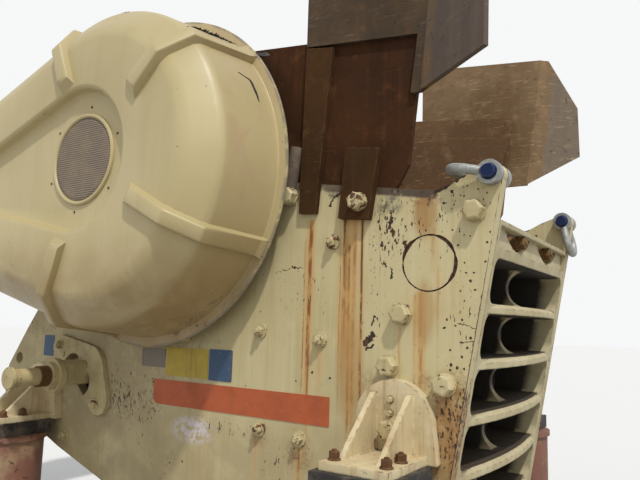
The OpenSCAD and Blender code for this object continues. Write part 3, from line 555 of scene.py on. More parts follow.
def plate_paint(name, colour, marks, shift=0.0):
    """Old cream paint on a side plate, with the rust runs, chips, scars, soot, stains and patches of painted shade
    of its marks, and darker towards the rear.
    """
    f = Finish(name, colour)
    place = f.scaled(1, 1, 1)
    if shift:
        place.node.inputs["Location"].default_value = (shift, 0, shift)
    broad = f.noise(1.3, 3, at=place)
    cloudy = f.noise(5, 6, 0.6, at=place)
    fine = f.noise(45, 3, at=place)
    grain = f.noise(24, 6, 0.7, at=place)
    runs = f.noise(1, 6, 0.62, at=f.scaled(16, 16, 0.55))
    thin = f.noise(1, 4, 0.6, at=f.scaled(70, 70, 1.8))
    f.coat("#b3a67b", f.level(broad, 0.35, 0.65))
    f.coat("#c9be98", f.level(cloudy, 0.45, 0.75, 0, 0.5))
    f.coat("#a8976a", f.level(runs, 0.48, 0.7, 0, 0.5))
    f.coat("#cfc4a0", f.level(thin, 0.52, 0.75, 0, 0.35))
    low = f.level(f.z, place_z(-980), place_z(-1420))
    dusty = f.times(low, f.level(f.noise(3.2, 5, 0.6, 0.6), 0.25, 0.6))
    f.coat("#94825f", dusty, 0.55)
    # The plate is painted darker and greyer towards the rear, broken up by a cloudy noise
    rear_darkening = f.times(f.level(f.x, place_x(-1400), place_x(-2500)), f.level(cloudy, 0.3, 0.7))
    f.coat("#857759", rear_darkening, 0.6)

    wander = f.times(f.minus(f.noise(1, 3, at=f.scaled(3, 3, 2.2)), 0.5), 0.03)
    broken = f.level(f.plus(thin, f.times(runs, 0.5)), 0.52, 0.9)
    patchy = f.level(f.noise(1, 5, 0.7, at=f.scaled(30, 30, 9)), 0.38, 0.6)
    for x, width, top, bottom, halo, core, dark in marks["streaks"]:
        wide = streak(f, x, width * 2.6, top, bottom, wander)
        stain = f.times(wide, f.level(broken, 0, 1, 0.4, 1.0))
        f.coat("#c09a5c", stain, halo)
        narrow = streak(f, x, width, top, bottom, wander)
        f.coat("#955525", narrow, f.level(patchy, 0, 1, 0.35, 1.0), core)
        if dark:
            f.coat(DARK_RUST, narrow, f.level(thin, 0.43, 0.55), f.level(patchy, 0.1, 0.6), dark)
    noises = {"runs": runs, "grain": grain, "fine": fine}
    for one in marks["areas"]:
        tint(f, noises, *one)

    ragged = f.ragged(48, 0.013)
    torn = f.ragged(58, 0.034)
    near = None
    for x, z, radius in marks["chips"]:
        one = f.near(ragged, x, z, radius * 0.75)
        near = one if near is None else f.calc("MINIMUM", near, one)
    for x0, z0, x1, z1, radius in marks["scars"]:
        near = f.calc("MINIMUM", near, f.along(torn, (x0, z0), (x1, z1), radius * 0.62))
    chip = f.under(near, 1.0)
    dense = f.level(f.noise(1.7, 3, at=place), 0.44, 0.68, 0.72, 0.645)
    for x, z, rx, rz, amount in marks["specked"]:
        dense = f.minus(dense, f.times(spot(f, x, z, rx, rz), amount))
    chip = f.most(chip, f.over(f.noise(58, 4, 0.62, 0.3, at=f.scaled(1.3, 1, 0.5)), dense))
    worn = f.times(f.edge_wear(0.008), f.level(f.noise(16, 4, 0.7, at=place), 0.47, 0.6))
    bare = f.most(chip, worn)
    ring = f.absolute(f.minus(ring_distance(f, *SPIGOT), SPIGOT_R))
    thick = f.level(f.noise(7, 4, 0.7, 1.0, at=place), 0.45, 0.75, 0.0025, 0.007)
    for x, z in marks["ring"]:
        thick = f.plus(thick, f.times(spot(f, x, z, 70, 70), 0.006))
    bare = f.most(bare, f.under(ring, thick))
    corner = behind_front(f)
    outside = f.over(f.absolute(f.y), OUTER - 0.005)
    reach = f.level(f.noise(27, 5, 0.75, at=place), 0.5, 0.7, 0.0024, 0.0075)
    bare = f.most(bare, f.times(outside, f.under(corner, reach)))
    ledge = f.plus(f.z, f.times(f.x, TOP_SLOPE))
    ledge_top = place_z(-64) + place_x(-260) * TOP_SLOPE
    lip = f.times(
        f.level(ledge, ledge_top - 0.045, ledge_top - 0.03),
        f.level(f.noise(10, 5, 0.7, at=place), 0.26, 0.4),
        f.level(f.x, place_x(-1180), place_x(-620), 0.6, 1.0),
        f.level(f.x, place_x(-235), place_x(-262)),
    )
    f.coat("#3c2c22", lip, 0.95)
    f.coat(f.mix(f.level(fine, 0.45, 0.62), BARE, "#573620"), bare)
    f.bumps((bare, -0.0008), (fine, 0.00035), (cloudy, 0.0016))
    rough = f.level(cloudy, 0.3, 0.7, 0.5, 0.72)
    return f.done(f.most(rough, f.times(bare, 0.9)), soft_edge=0.004)


def cast_paint(
    name, colour, second, dirt=0.5, rusty=0.35, grain=0.0022, chips=0.6, hollows=False, soft_edge=0.009
):
    """Cream paint over a rough casting, dusty on ledges and chipped along edges; in hollows it is painted near
    black, as painted shade with some dirt.
    """
    f = Finish(name, colour)
    broad = f.noise(2.1, 4)
    cloudy = f.noise(9, 6, 0.65)
    fine = f.noise(70, 4, 0.6)
    f.coat(second, f.level(broad, 0.35, 0.65))
    f.coat("#86775a", f.level(cloudy, 0.42, 0.72, 0, dirt))
    up = f.node("ShaderNodeSeparateXYZ", {0: f.surface_normal()}).outputs
    dust = f.times(f.level(up[2], 0.35, 0.9), f.level(f.noise(6, 5, 0.6), 0.3, 0.6))
    f.coat("#a39373", dust, 0.5)
    down = f.noise(1, 5, 0.6, at=f.scaled(22, 22, 1.2))
    f.coat("#96683a", f.level(down, 0.52, 0.7), rusty)
    if hollows:
        # The cells of the front frame are painted near black: painted shade where the ribs keep light out, with
        # some dirt. Floors that face up get a lighter copy of it.
        depth = behind_front(f)
        inner = f.under(f.absolute(f.y), OUTER - 0.09)
        low = f.level(f.z, place_z(-322), place_z(-332))
        shaken = f.plus(depth, f.times(f.minus(cloudy, 0.5), 0.03))
        webs = f.level(shaken, 0.1, 0.13)
        # The ribs bow forward between the flanges, so their floors are measured from the bowed edge
        share = f.calc("DIVIDE", f.y, OUTER - 0.093)
        bowed = f.plus(shaken, f.times(f.minus(1.0, f.times(share, share)), 0.058))
        turned = f.minus(1.0, f.level(up[0], 0.25, 0.45))
        level_face = f.over(f.absolute(up[2]), 0.93)
        floors = f.times(level_face, f.level(bowed, 0.012, 0.03))
        upright = f.times(turned, f.level(f.absolute(up[1]), 0.6, 0.8), f.level(shaken, 0.07, 0.14))
        slanted = f.times(turned, f.level(f.absolute(up[1]), 0.5, 0.3), f.level(bowed, 0.02, 0.05))
        walls = f.most(upright, slanted)
        shade_and_dirt = f.times(f.most(webs, floors, walls), inner, low)
        shade_and_dirt_colour = f.mix(f.level(fine, 0.4, 0.6), "#17110b", "#241b12")
        shade_and_dirt_colour = f.mix(f.over(up[2], 0.9), shade_and_dirt_colour, "#3a2f24")
        f.coat(shade_and_dirt_colour, shade_and_dirt, 0.97)
        # The recess at the top of the frame is painted darker brown: partly painted shade, partly dirt
        recess = f.times(f.level(depth, 0.06, 0.12), inner, f.minus(1.0, low), f.level(cloudy, 0.3, 0.55))
        f.coat("#6b5535", recess, 0.6)
    chip = f.over(f.noise(30, 5, 0.65, 0.4), f.level(f.noise(2.6, 3), 0.4, 0.7, chips + 0.12, chips + 0.03))
    turning = f.edge_wear(soft_edge * 1.2)
    worn = f.times(turning, f.level(f.noise(18, 4, 0.7), 0.48, 0.62))
    bare = f.most(chip, worn)
    if hollows:
        rubbed = f.times(f.edge_wear(0.005, 0.04, 0.2), shade_and_dirt, f.level(f.noise(8, 4, 0.7), 0.36, 0.5))
        f.coat("#8a826a", rubbed, 0.8)
        bare = f.times(bare, f.minus(1.0, rubbed))
    f.coat(f.mix(f.level(fine, 0.4, 0.6), DARK_RUST, "#6d4525"), bare)
    f.bumps((bare, -0.0007), (fine, 0.0004), (cloudy, grain))
    return f.done(f.level(cloudy, 0.3, 0.7, 0.55, 0.8), soft_edge=soft_edge)


def rusty_steel(
    name, deep, light, pale, scratches=0.4, runs_amount=0.8, gloss=0.62, crossed=False, wing=None, round_bar=None
):
    """Weathered steel plate: dark rust with lighter runs, pale dust and scratches."""
    f = Finish(name, deep)
    broad = f.noise(1.6, 4, 0.6)
    cloudy = f.noise(7, 7, 0.68, 0.3)
    fine = f.noise(90, 4, 0.65)
    runs = f.noise(1, 6, 0.6, at=f.scaled(12, 12, 0.4))
    f.coat(light, f.level(broad, 0.36, 0.64))
    f.coat(f.mix(f.level(cloudy, 0.4, 0.6), light, "#5a331d"), f.level(runs, 0.46, 0.7, 0, runs_amount))
    if wing:
        outward = f.level(f.absolute(f.y), OUTER + 0.026, OUTER + 0.034)
        face = f.mix(f.level(runs, 0.44, 0.66, 0, 0.4), wing, "#6e5f52")
        f.coat(face, outward)
        fold = f.level(f.absolute(f.minus(f.absolute(f.y), OUTER + 0.045)), 0.03, 0.0)
        f.coat("#7d5f39", fold, f.level(cloudy, 0.3, 0.6), 0.7)
    if round_bar:
        along_bar = f.level(f.x, place_x(-994), place_x(-1002))
        f.coat(f.mix(f.level(cloudy, 0.4, 0.6), round_bar, "#7b6c60"), along_bar)
    f.coat(pale, f.level(cloudy, 0.5, 0.74, 0, 0.45))
    fresh = tuple(min(1, c * 1.5) for c in tone(pale))
    for turn, stretch in ((35, 1), (-48, 1), (8, 0.6)) if crossed else ((35, 1),):
        scrape = f.noise(1, 4, 0.7, 0.4, at=f.scaled(7, 7, 75 * stretch, turn))
        where = f.level(f.noise(3.4, 3, at=f.scaled(1, 1, 1, turn)), 0.42, 0.6)
        f.coat(fresh, f.level(scrape, 0.6, 0.68), where, scratches)
    pits = f.level(f.noise(24, 6, 0.7), 0.6, 0.7)
    f.coat("#241712", pits, 0.6)
    edge = f.times(f.edge_wear(0.006), f.level(f.noise(20, 3), 0.4, 0.6), 0.7)
    f.coat(pale, edge)
    f.bumps((cloudy, 0.002), (fine, 0.0005), (pits, -0.0012))
    rough = f.level(cloudy, 0.3, 0.75, gloss - 0.08, gloss + 0.25)
    return f.done(rough, soft_edge=0.003, specular_ior_level=0.15)


def guard_shell(name, colour):
    """Moulded plastic guard: warm cream gel coat, chalky stains, smears low down and a chipped rim, with painted
    shade on the drum, low down and on faces that look up.
    """
    f = Finish(name, colour)
    broad = f.noise(1.1, 3, 0.5)
    cloudy = f.noise(4.5, 6, 0.6, 0.4)
    brushed = f.noise(1, 5, 0.6, at=f.scaled(9, 9, 1.1))
    fine = f.noise(120, 3)
    f.coat("#b0a174", f.level(broad, 0.35, 0.65))
    f.coat("#a69669", f.level(brushed, 0.45, 0.75, 0, 0.35))
    dx = f.minus(f.x, place_x(SHAFT[0]))
    dz = f.minus(f.z, place_z(SHAFT[1]))
    away = f.length(dx, dz)
    out = f.absolute(f.y)
    # The drum is painted browner: partly dirt, partly painted shade where the plate and chute beside it keep light
    # off
    drum = f.times(f.level(out, 1.25, 1.2), f.level(away, 0.8, 0.86))
    f.coat("#a8936a", drum, 0.35)
    blush = f.times(drum, f.level(cloudy, 0.46, 0.64), f.level(dx, 0.2, 0.6), f.level(dz, -0.35, 0.1))
    f.coat("#a98d70", blush, 0.45)
    # The lower part is painted darker brown: partly dirt, partly painted shade under the guard
    low = f.times(f.level(dz, -0.3, -0.72), f.level(cloudy, 0.2, 0.6, 0.35, 1.0))
    f.coat("#866c43", low, 0.62)
    hair = f.noise(2.4, 3, 0.5, 2.2, at=f.scaled(2.2, 3, 0.9))
    turn = f.times(f.calc("ARCTAN2", dz, dx), DEGREES)
    strokes = f.calc("FRACT", f.plus(f.times(turn, 0.42), f.times(f.noise(4.5, 3), 2.2)))
    fan = f.under(f.absolute(f.minus(strokes, 0.5)), f.level(f.noise(15, 4), 0.4, 0.65, 0.02, 0.16))
    fan = f.times(fan, f.level(f.absolute(f.plus(turn, FAN_AT)), 13, 9))
    fan = f.times(fan, f.level(out, 1.2, 1.12), f.level(out, 0.9, 0.96))
    f.coat("#5d4526", fan, 0.6)
    smear = f.under(f.absolute(f.minus(hair, 0.53)), 0.008)
    smear = f.times(smear, f.level(dz, -0.6, -0.74), f.level(out, 1.32, 1.1))
    f.coat("#4c3922", smear, f.level(f.noise(5, 3), 0.44, 0.54), 0.75)
    streaks = f.level(f.noise(1, 5, 0.65, at=f.scaled(40, 8, 1.3)), 0.56, 0.72)
    f.coat("#8d7b54", streaks, f.level(dz, 0.3, -0.6), 0.3)
    specks = f.over(f.noise(34, 3, 0.6), 0.73)
    # Painted shade: faces that look up are darkened
    up = f.node("ShaderNodeSeparateXYZ", {0: f.surface_normal()}).outputs
    f.coat("#93855c", f.level(up[2], 0.05, 0.6, 0, 0.55))
    edge = f.level(away, RIM_R / 1000 - 0.022, RIM_R / 1000 - 0.004)
    edge = f.times(edge, f.level(out, RIM_Y / 1000 + 0.03, RIM_Y / 1000 + 0.016))
    rim = f.times(edge, f.level(f.noise(12, 5, 0.75), 0.4, 0.56))
    f.coat("#6f685b", rim, 0.8)
    worn = f.times(f.edge_wear(0.008, 0.08, 0.25), f.level(f.noise(13, 5, 0.75), 0.54, 0.66))
    f.coat("#958a70", worn, 0.45)
    f.coat("#5c4a33", specks, 0.7)
    f.bumps((f.noise(2.3, 2), 0.006), (fine, 0.00015), (rim, -0.001))
    return f.done(f.level(cloudy, 0.3, 0.7, 0.38, 0.56), coat_weight=0.1, coat_roughness=0.35)


def plain_paint(name, colour, second, worn_to=DARK_RUST, rough=0.5, chips=0.62, dusty=0.35, shine=0.5):
    """Machine paint with dust and chips."""
    f = Finish(name, colour)
    cloudy = f.noise(6, 6, 0.62)
    fine = f.noise(60, 4)
    f.coat(second, f.level(f.noise(2, 3), 0.35, 0.65))
    f.coat(DUST, f.level(cloudy, 0.45, 0.75, 0, dusty))
    chip = f.over(f.noise(26, 5, 0.66, 0.4), chips + 0.04)
    worn = f.times(f.edge_wear(0.008), f.level(f.noise(20, 4, 0.7), 0.45, 0.6))
    bare = f.most(chip, worn)
    f.coat(worn_to, bare)
    f.bumps((bare, -0.0006), (fine, 0.0003))
    rough = f.level(cloudy, 0.3, 0.7, rough - 0.06, rough + 0.2)
    return f.done(rough, soft_edge=0.003, specular_ior_level=shine)


def bare_steel(name, colour, second, rough=0.4, metal=0.9, brushed=(1, 1, 1), stained=0.3):
    """Machined or rubbed steel with oil and light rust."""
    f = Finish(name, colour)
    cloudy = f.noise(8, 6, 0.65)
    lines = f.noise(1, 4, 0.7, at=f.scaled(*[40 * b for b in brushed]))
    f.coat(second, f.level(cloudy, 0.4, 0.65))
    f.coat("#5a3d26", f.level(f.noise(5, 6, 0.7), 0.52, 0.7, 0, stained))
    f.bumps((lines, 0.0006), (cloudy, 0.0015))
    return f.done(f.level(lines, 0.3, 0.7, rough - 0.1, rough + 0.2), metal=metal, soft_edge=0.003)


def zinc(name):
    """Hot-dip zinc with dull spangle, white bloom and dirt."""
    f = Finish(name, "#8d8f8c")
    spangle = f.node("ShaderNodeTexVoronoi", {"Vector": f.place, "Scale": 55, "Randomness": 1.0}, feature="F1")
    shade = f.node("ShaderNodeSeparateColor", {0: spangle.outputs["Color"]})
    f.coat("#a9aaa4", f.level(shade.outputs[0], 0.2, 0.9, 0, 0.5))
    cloudy = f.noise(14, 6, 0.65)
    f.coat("#c6c3b8", f.level(cloudy, 0.5, 0.72, 0, 0.6))
    f.coat("#6f6353", f.level(f.noise(9, 5, 0.7), 0.54, 0.68, 0, 0.7))
    f.bumps((cloudy, 0.0018))
    return f.done(f.level(cloudy, 0.3, 0.7, 0.42, 0.66), metal=0.45, soft_edge=0.003)


def rubber(name, colour):
    f = Finish(name, colour)
    cloudy = f.noise(9, 6, 0.65)
    f.coat("#6d6254", f.level(cloudy, 0.42, 0.7, 0, 0.75))
    f.bumps((f.noise(120, 3), 0.0004), (cloudy, 0.002))
    return f.done(f.level(cloudy, 0.3, 0.7, 0.7, 0.92), soft_edge=0.006)


def woven_wire(name):
    """Fine wire cloth."""
    f = Finish(name, "#4b4138")
    across = f.calc("FRACT", f.times(f.x, 1 / 0.009))
    up = f.calc("FRACT", f.times(f.z, 1 / 0.012))
    wire = f.most(
        f.level(f.absolute(f.minus(across, 0.5)), 0.3, 0.42),
        f.level(f.absolute(f.minus(up, 0.5)), 0.2, 0.34),
    )
    cloudy = f.noise(7, 5, 0.6)
    f.coat("#8a7c6c", wire)
    f.coat("#8f7e66", f.level(cloudy, 0.4, 0.7, 0, 0.55))
    f.bumps((wire, 0.0016))
    return f.done(0.7, metal=0.15)


def bare_label(name, colour, faded, scuffs=0.35, rough=0.45):
    """A plain coloured label plate, faded, scuffed and dusty."""
    f = Finish(name, colour)
    cloudy = f.noise(6, 6, 0.65)
    f.coat(faded, f.level(cloudy, 0.38, 0.68))
    runs = f.noise(1, 5, 0.65, at=f.scaled(18, 18, 1.2))
    f.coat("#6d4a30", f.level(runs, 0.55, 0.72, 0, scuffs))
    specks = f.over(f.noise(75, 4, 0.7), 0.665)
    f.coat("#cbb892", f.calc("MULTIPLY", specks, scuffs * 1.6, clamp=True))
    f.bumps((f.noise(80, 3), 0.0003))
    return f.done(f.level(cloudy, 0.3, 0.7, rough, rough + 0.25))


# Every finish by its name, filled by make_finishes
FINISHES = {}


# Marks on the drive side plate, in millimetres from the datum. Streaks: middle, width, top, lower end, and the
# strength of their halo, their rust and their dark core. Areas: kind, middle, half sizes, strength.
NEAR_MARKS = {
    "streaks": [
        (-935, 34, -160, -1000, 0.85, 1.0, 0.35), (-930, 16, -900, -1210, 0.6, 0.6, 0.3),
        (-966, 8, -260, -1100, 0.3, 0.4, 0.5), (-728, 40, -160, -860, 0.9, 0.9, 1.0),
        (-708, 20, -300, -780, 0.6, 1.0, 1.0), (-700, 26, -640, -1180, 0.9, 1.0, 0.9),
        (-634, 17, -160, -1160, 0.9, 0.9, 1.0), (-676, 26, -165, -1150, 0.8, 0.6, 0.4),
        (-757, 7, -300, -1020, 0.3, 0.5, 0.5), (-262, 30, -240, -420, 0.5, 0.35, 0.2),
        (-240, 10, -420, -700, 0.4, 0.4, 0.2), (-322, 26, -530, -1010, 0.75, 0.5, 0.2),
        (-352, 12, -540, -900, 0.5, 0.4, 0.1), (-425, 16, -690, -1000, 0.4, 0.3, 0.1),
        (-970, 22, -1280, -1520, 0.6, 0.5, 0.5), (-862, 26, -800, -1050, 0.35, 0.15, 0),
        (-1600, 14, -1200, -1500, 0.25, 0.1, 0), (-1240, 16, -1260, -1500, 0.4, 0.2, 0),
    ],
    "areas": [
        ("ochre", -305, -170, 82, 150, 0.95),
        ("ochre", -690, -900, 100, 330, 0.6),
        ("ochre", -300, -620, 60, 190, 0.5),
        ("ochre", -190, -1160, 120, 330, 0.7),
        ("rust", -305, -100, 110, 50, 1.0),
        ("tan", -330, -620, 110, 200, 0.55),
        ("tan", -200, -560, 120, 160, 0.3),
        ("tan", -700, -600, 110, 520, 0.6),
        ("soot", -485, -115, 85, 75, 0.8),
        ("soot", -790, -30, 90, 40, 0.75),
        ("soot", -1010, 30, 150, 60, 0.7),
        ("soot", -610, -120, 50, 50, 0.6),
        # Painted shade: the plate low down behind the guard is darkened where the guard keeps light off it
        ("shade", -2600, -1220, 620, 260, 0.7),
        ("specks", -2177, -1190, 300, 150, 0.9),
        ("specks", -1384, -1264, 220, 60, 0.9),
        ("specks", -2400, -1130, 220, 160, 0.6),
        ("chalk", -1700, -1300, 200, 95, 1.0),
        ("rust", -170, -1130, 130, 340, 1.0),
        ("rust", -300, -980, 120, 120, 0.45),
        ("rust", -560, -1010, 120, 150, 0.5),
        ("rust", -1230, -1290, 90, 60, 0.5),
        ("rust", -960, -1330, 110, 110, 0.6),
        # Painted shade: the plate under the guard is darkened
        ("shade", -2000, -900, 700, 420, 0.55),
    ],
    "chips": [
        (-175, -76, 11), (-104, -57, 6), (-54, -76, 5), (-14, -97, 5), (-213, -126, 9), (-132, -98, 5),
        (-174, -252, 6), (-2, -270, 6), (-15, -314, 8), (-118, -278, 5), (-91, -283, 5), (-146, -321, 6),
        (-116, -402, 6), (-24, -400, 7), (-109, -447, 7), (-73, -447, 7), (-91, -482, 9), (-135, -525, 6),
        (-69, -521, 7), (-198, -653, 7), (-128, -652, 7), (-92, -625, 6), (-160, -679, 7), (-210, -689, 8),
        (-89, -728, 9), (-105, -771, 8), (-182, -784, 7), (-128, -811, 8), (-178, -848, 9), (-182, -870, 7),
        (-150, -859, 9), (-410, -301, 13), (-1048, -398, 7), (-1760, -1480, 8), (-1860, -1500, 7),
        (-900, -930, 9), (-800, -950, 8), (-1000, -980, 7), (-590, -300, 5), (-560, -330, 4),
    ],
    "scars": [
        (-750, -27, -800, -47, 13), (-790, -40, -826, -92, 9), (-478, -180, -486, -226, 13),
        (-525, -285, -528, -312, 9), (-470, -425, -474, -462, 11), (-555, -640, -572, -690, 8),
        (-566, -735, -606, -775, 25), (-560, -780, -600, -800, 10), (-146, -668, -70, -686, 3),
        (-137, -751, -79, -745, 3.5), (-1158, -432, -1042, -401, 2.5), (-1042, -401, -985, -407, 5),
        (-252, -66, -196, -40, 24), (-196, -42, -118, -4, 16), (-60, -160, -20, -150, 2),
        (-404, -296, -398, -330, 9),
    ],
    "specked": [
        (-520, -250, 130, 300, 0.1), (-560, -650, 90, 280, 0.075), (-100, -680, 120, 260, 0.07),
        (-360, -260, 90, 160, 0.05), (-2177, -1220, 330, 150, 0.072), (-1384, -1264, 260, 60, 0.085),
        (-1620, -1250, 200, 60, 0.07), (-160, -1100, 140, 280, 0.09), (-880, -1000, 160, 100, 0.06),
        (-150, -130, 140, 120, 0.04), (-1900, -1060, 260, 70, 0.05),
    ],
    "ring": [(-155, -430), (-404, -325), (-200, -300)],
}
FAR_MARKS = {
    "streaks": [
        (-935, 26, -160, -1110, 0.6, 0.8, 0.3),
        (-690, 40, -160, -1150, 0.6, 0.6, 0.7),
        (-340, 30, -520, -900, 0.6, 0.4, 0.2),
        (-1500, 16, -900, -1400, 0.3, 0.2, 0),
    ],
    "areas": [
        ("tan", -320, -180, 90, 120, 0.8),
        ("rust", -315, -110, 110, 45, 0.8),
        ("rust", -180, -1130, 130, 300, 0.7),
        ("specks", -1900, -1150, 420, 180, 0.8),
        # Painted shade: the plate under the guard is darkened
        ("shade", -2000, -900, 700, 420, 0.55),
    ],
    "chips": [(-160, -90, 9), (-120, -440, 8), (-210, -640, 8), (-100, -720, 9), (-140, -830, 8), (-430, -280, 9)],
    "scars": [(-470, -200, -478, -250, 11), (-252, -66, -196, -40, 12), (-700, -60, -760, -90, 10)],
    "specked": [(-500, -300, 140, 300, 0.07), (-140, -800, 140, 300, 0.07), (-1900, -1150, 420, 180, 0.08)],
    "ring": [(-160, -420)],
}


def make_finishes(look):
    """Makes every finish once and keeps it by name."""
    cream = tuple(look.cream)
    FINISHES.update(
        drive_plate=plate_paint("drive_plate_paint", cream, NEAR_MARKS),
        off_plate=plate_paint("off_plate_paint", cream, FAR_MARKS, 3.7),
        cream_paint=cast_paint("cast_cream_paint", "#b8ab80", "#a89a70"),
        frame_paint=cast_paint("front_frame_paint", "#b3aa88", "#a79c79", 0.3, 0.12, 0.0026, 0.64, True),
        foot_paint=cast_paint("foot_paint", "#cdbf9b", "#c0af88", 0.3, 0.5, 0.003),
        guard_shell=guard_shell("guard_gel_coat", tuple(look.guard)),
        rusty_plate=rusty_steel("chute_rust", "#301b0c", "#3f250f", "#64462c", 0.12, 0.6, 0.78),
        upper_rust=rusty_steel(
            "upper_chute_rust", "#3a2f25", "#4a3e31", "#736351", 0.28, 0.3, crossed=True, wing="#594e47"
        ),
        far_rust=rusty_steel(
            "far_chute_rust", "#6b543b", "#836c51", "#9f886b", 0.5, 0.35, 0.7, crossed=True, wing="#75695b"
        ),
        liner_rust=rusty_steel("liner_rust", "#624a33", "#765c41", "#9c8062", 0.5, 0.3, 0.7, crossed=True),
        bar_rust=rusty_steel("bar_rust", "#36230f", "#452d16", "#6e5238", 0.3, 0.4, 0.8, round_bar="#62554a"),
        rusty_clamp=rusty_steel("clamp_rust", "#4f3820", "#6a5030", "#94764c", 0.3, 0.3),
        manganese_steel=bare_steel("jaw_die_steel", "#5d5851", "#7d766c", 0.45, 0.75, (1, 1, 0.1), 0.5),
        machined_steel=bare_steel("shaft_steel", "#7b7873", "#918c84", 0.34, 0.95, (0.1, 1, 1), 0.2),
        galvanised=zinc("shackle_zinc"),
        blue_paint=plain_paint("pin_blue", "#08173d", "#0c204a", "#5a5c60", 0.14, 0.7, 0.05, 0.2),
        wheel_paint=plain_paint("wheel_paint", "#8e8566", "#7c7459", DARK_RUST, 0.55),
        motor_paint=plain_paint("motor_paint", "#46607a", "#53697b", DARK_RUST, 0.45),
        belt_rubber=rubber("belt_rubber", "#201e1c"),
        pad_rubber=rubber("pad_rubber", "#1f1d1b"),
        screen_wire=woven_wire("screen_wire_cloth"),
        pedestal_paint=plain_paint("pedestal_paint", "#6f4638", "#7c5444", DARK_RUST, 0.62, 0.6, 0.75),
        bolt_paint=cast_paint("bolt_paint", "#c2b68d", "#b3a67c", 0.3, 0.3, 0.0005, 0.5, soft_edge=0.0025),
        stud_rust=rusty_steel("stud_rust", "#49301e", "#60452f", "#8f7352", 0.3, 0.2),
        band=bare_label("band_orange", "#ab5126", "#9c4c27", 0.25),
        yellow=bare_label("label_yellow", "#b39c33", "#a48f3a", 0.4),
        blue=bare_label("label_blue", "#2c4766", "#36506b", 0.3),
        grey=bare_label("label_grey", "#736c60", "#7b7366", 0.3),
        torn_rubber=rubber("torn_seal_rubber", "#1b1714"),
    )
    return FINISHES


# Nodes of the frame whose finish isn't the one that their slot names
OWN_FINISH = {
    "drive_side_plate": "drive_plate",
    "off_side_plate": "off_plate",
    "front_frame": "frame_paint",
    "front_feet": "foot_paint",
    "rear_feet": "foot_paint",
    "drive_chute_upper": "upper_rust",
    "off_chute_upper": "far_rust",
    "off_chute_lower": "liner_rust",
    "chute_liners": "liner_rust",
    "chute_rear_wall": "liner_rust",
    "drive_hold_downs": "bar_rust",
    "off_hold_downs": "bar_rust",
}


ARC_STEPS = 192
SWING = math.atan2(MOTOR[1] - SHAFT[1], MOTOR[0] - SHAFT[0])


def ring_angle(vertex, centre):
    """The angle of a vertex round a centre, from the direction of the motor, between -pi and pi."""
    a = math.atan2(vertex.co.z - centre.z, vertex.co.x - centre.x) - SWING
    return (a + math.pi) % math.tau - math.pi


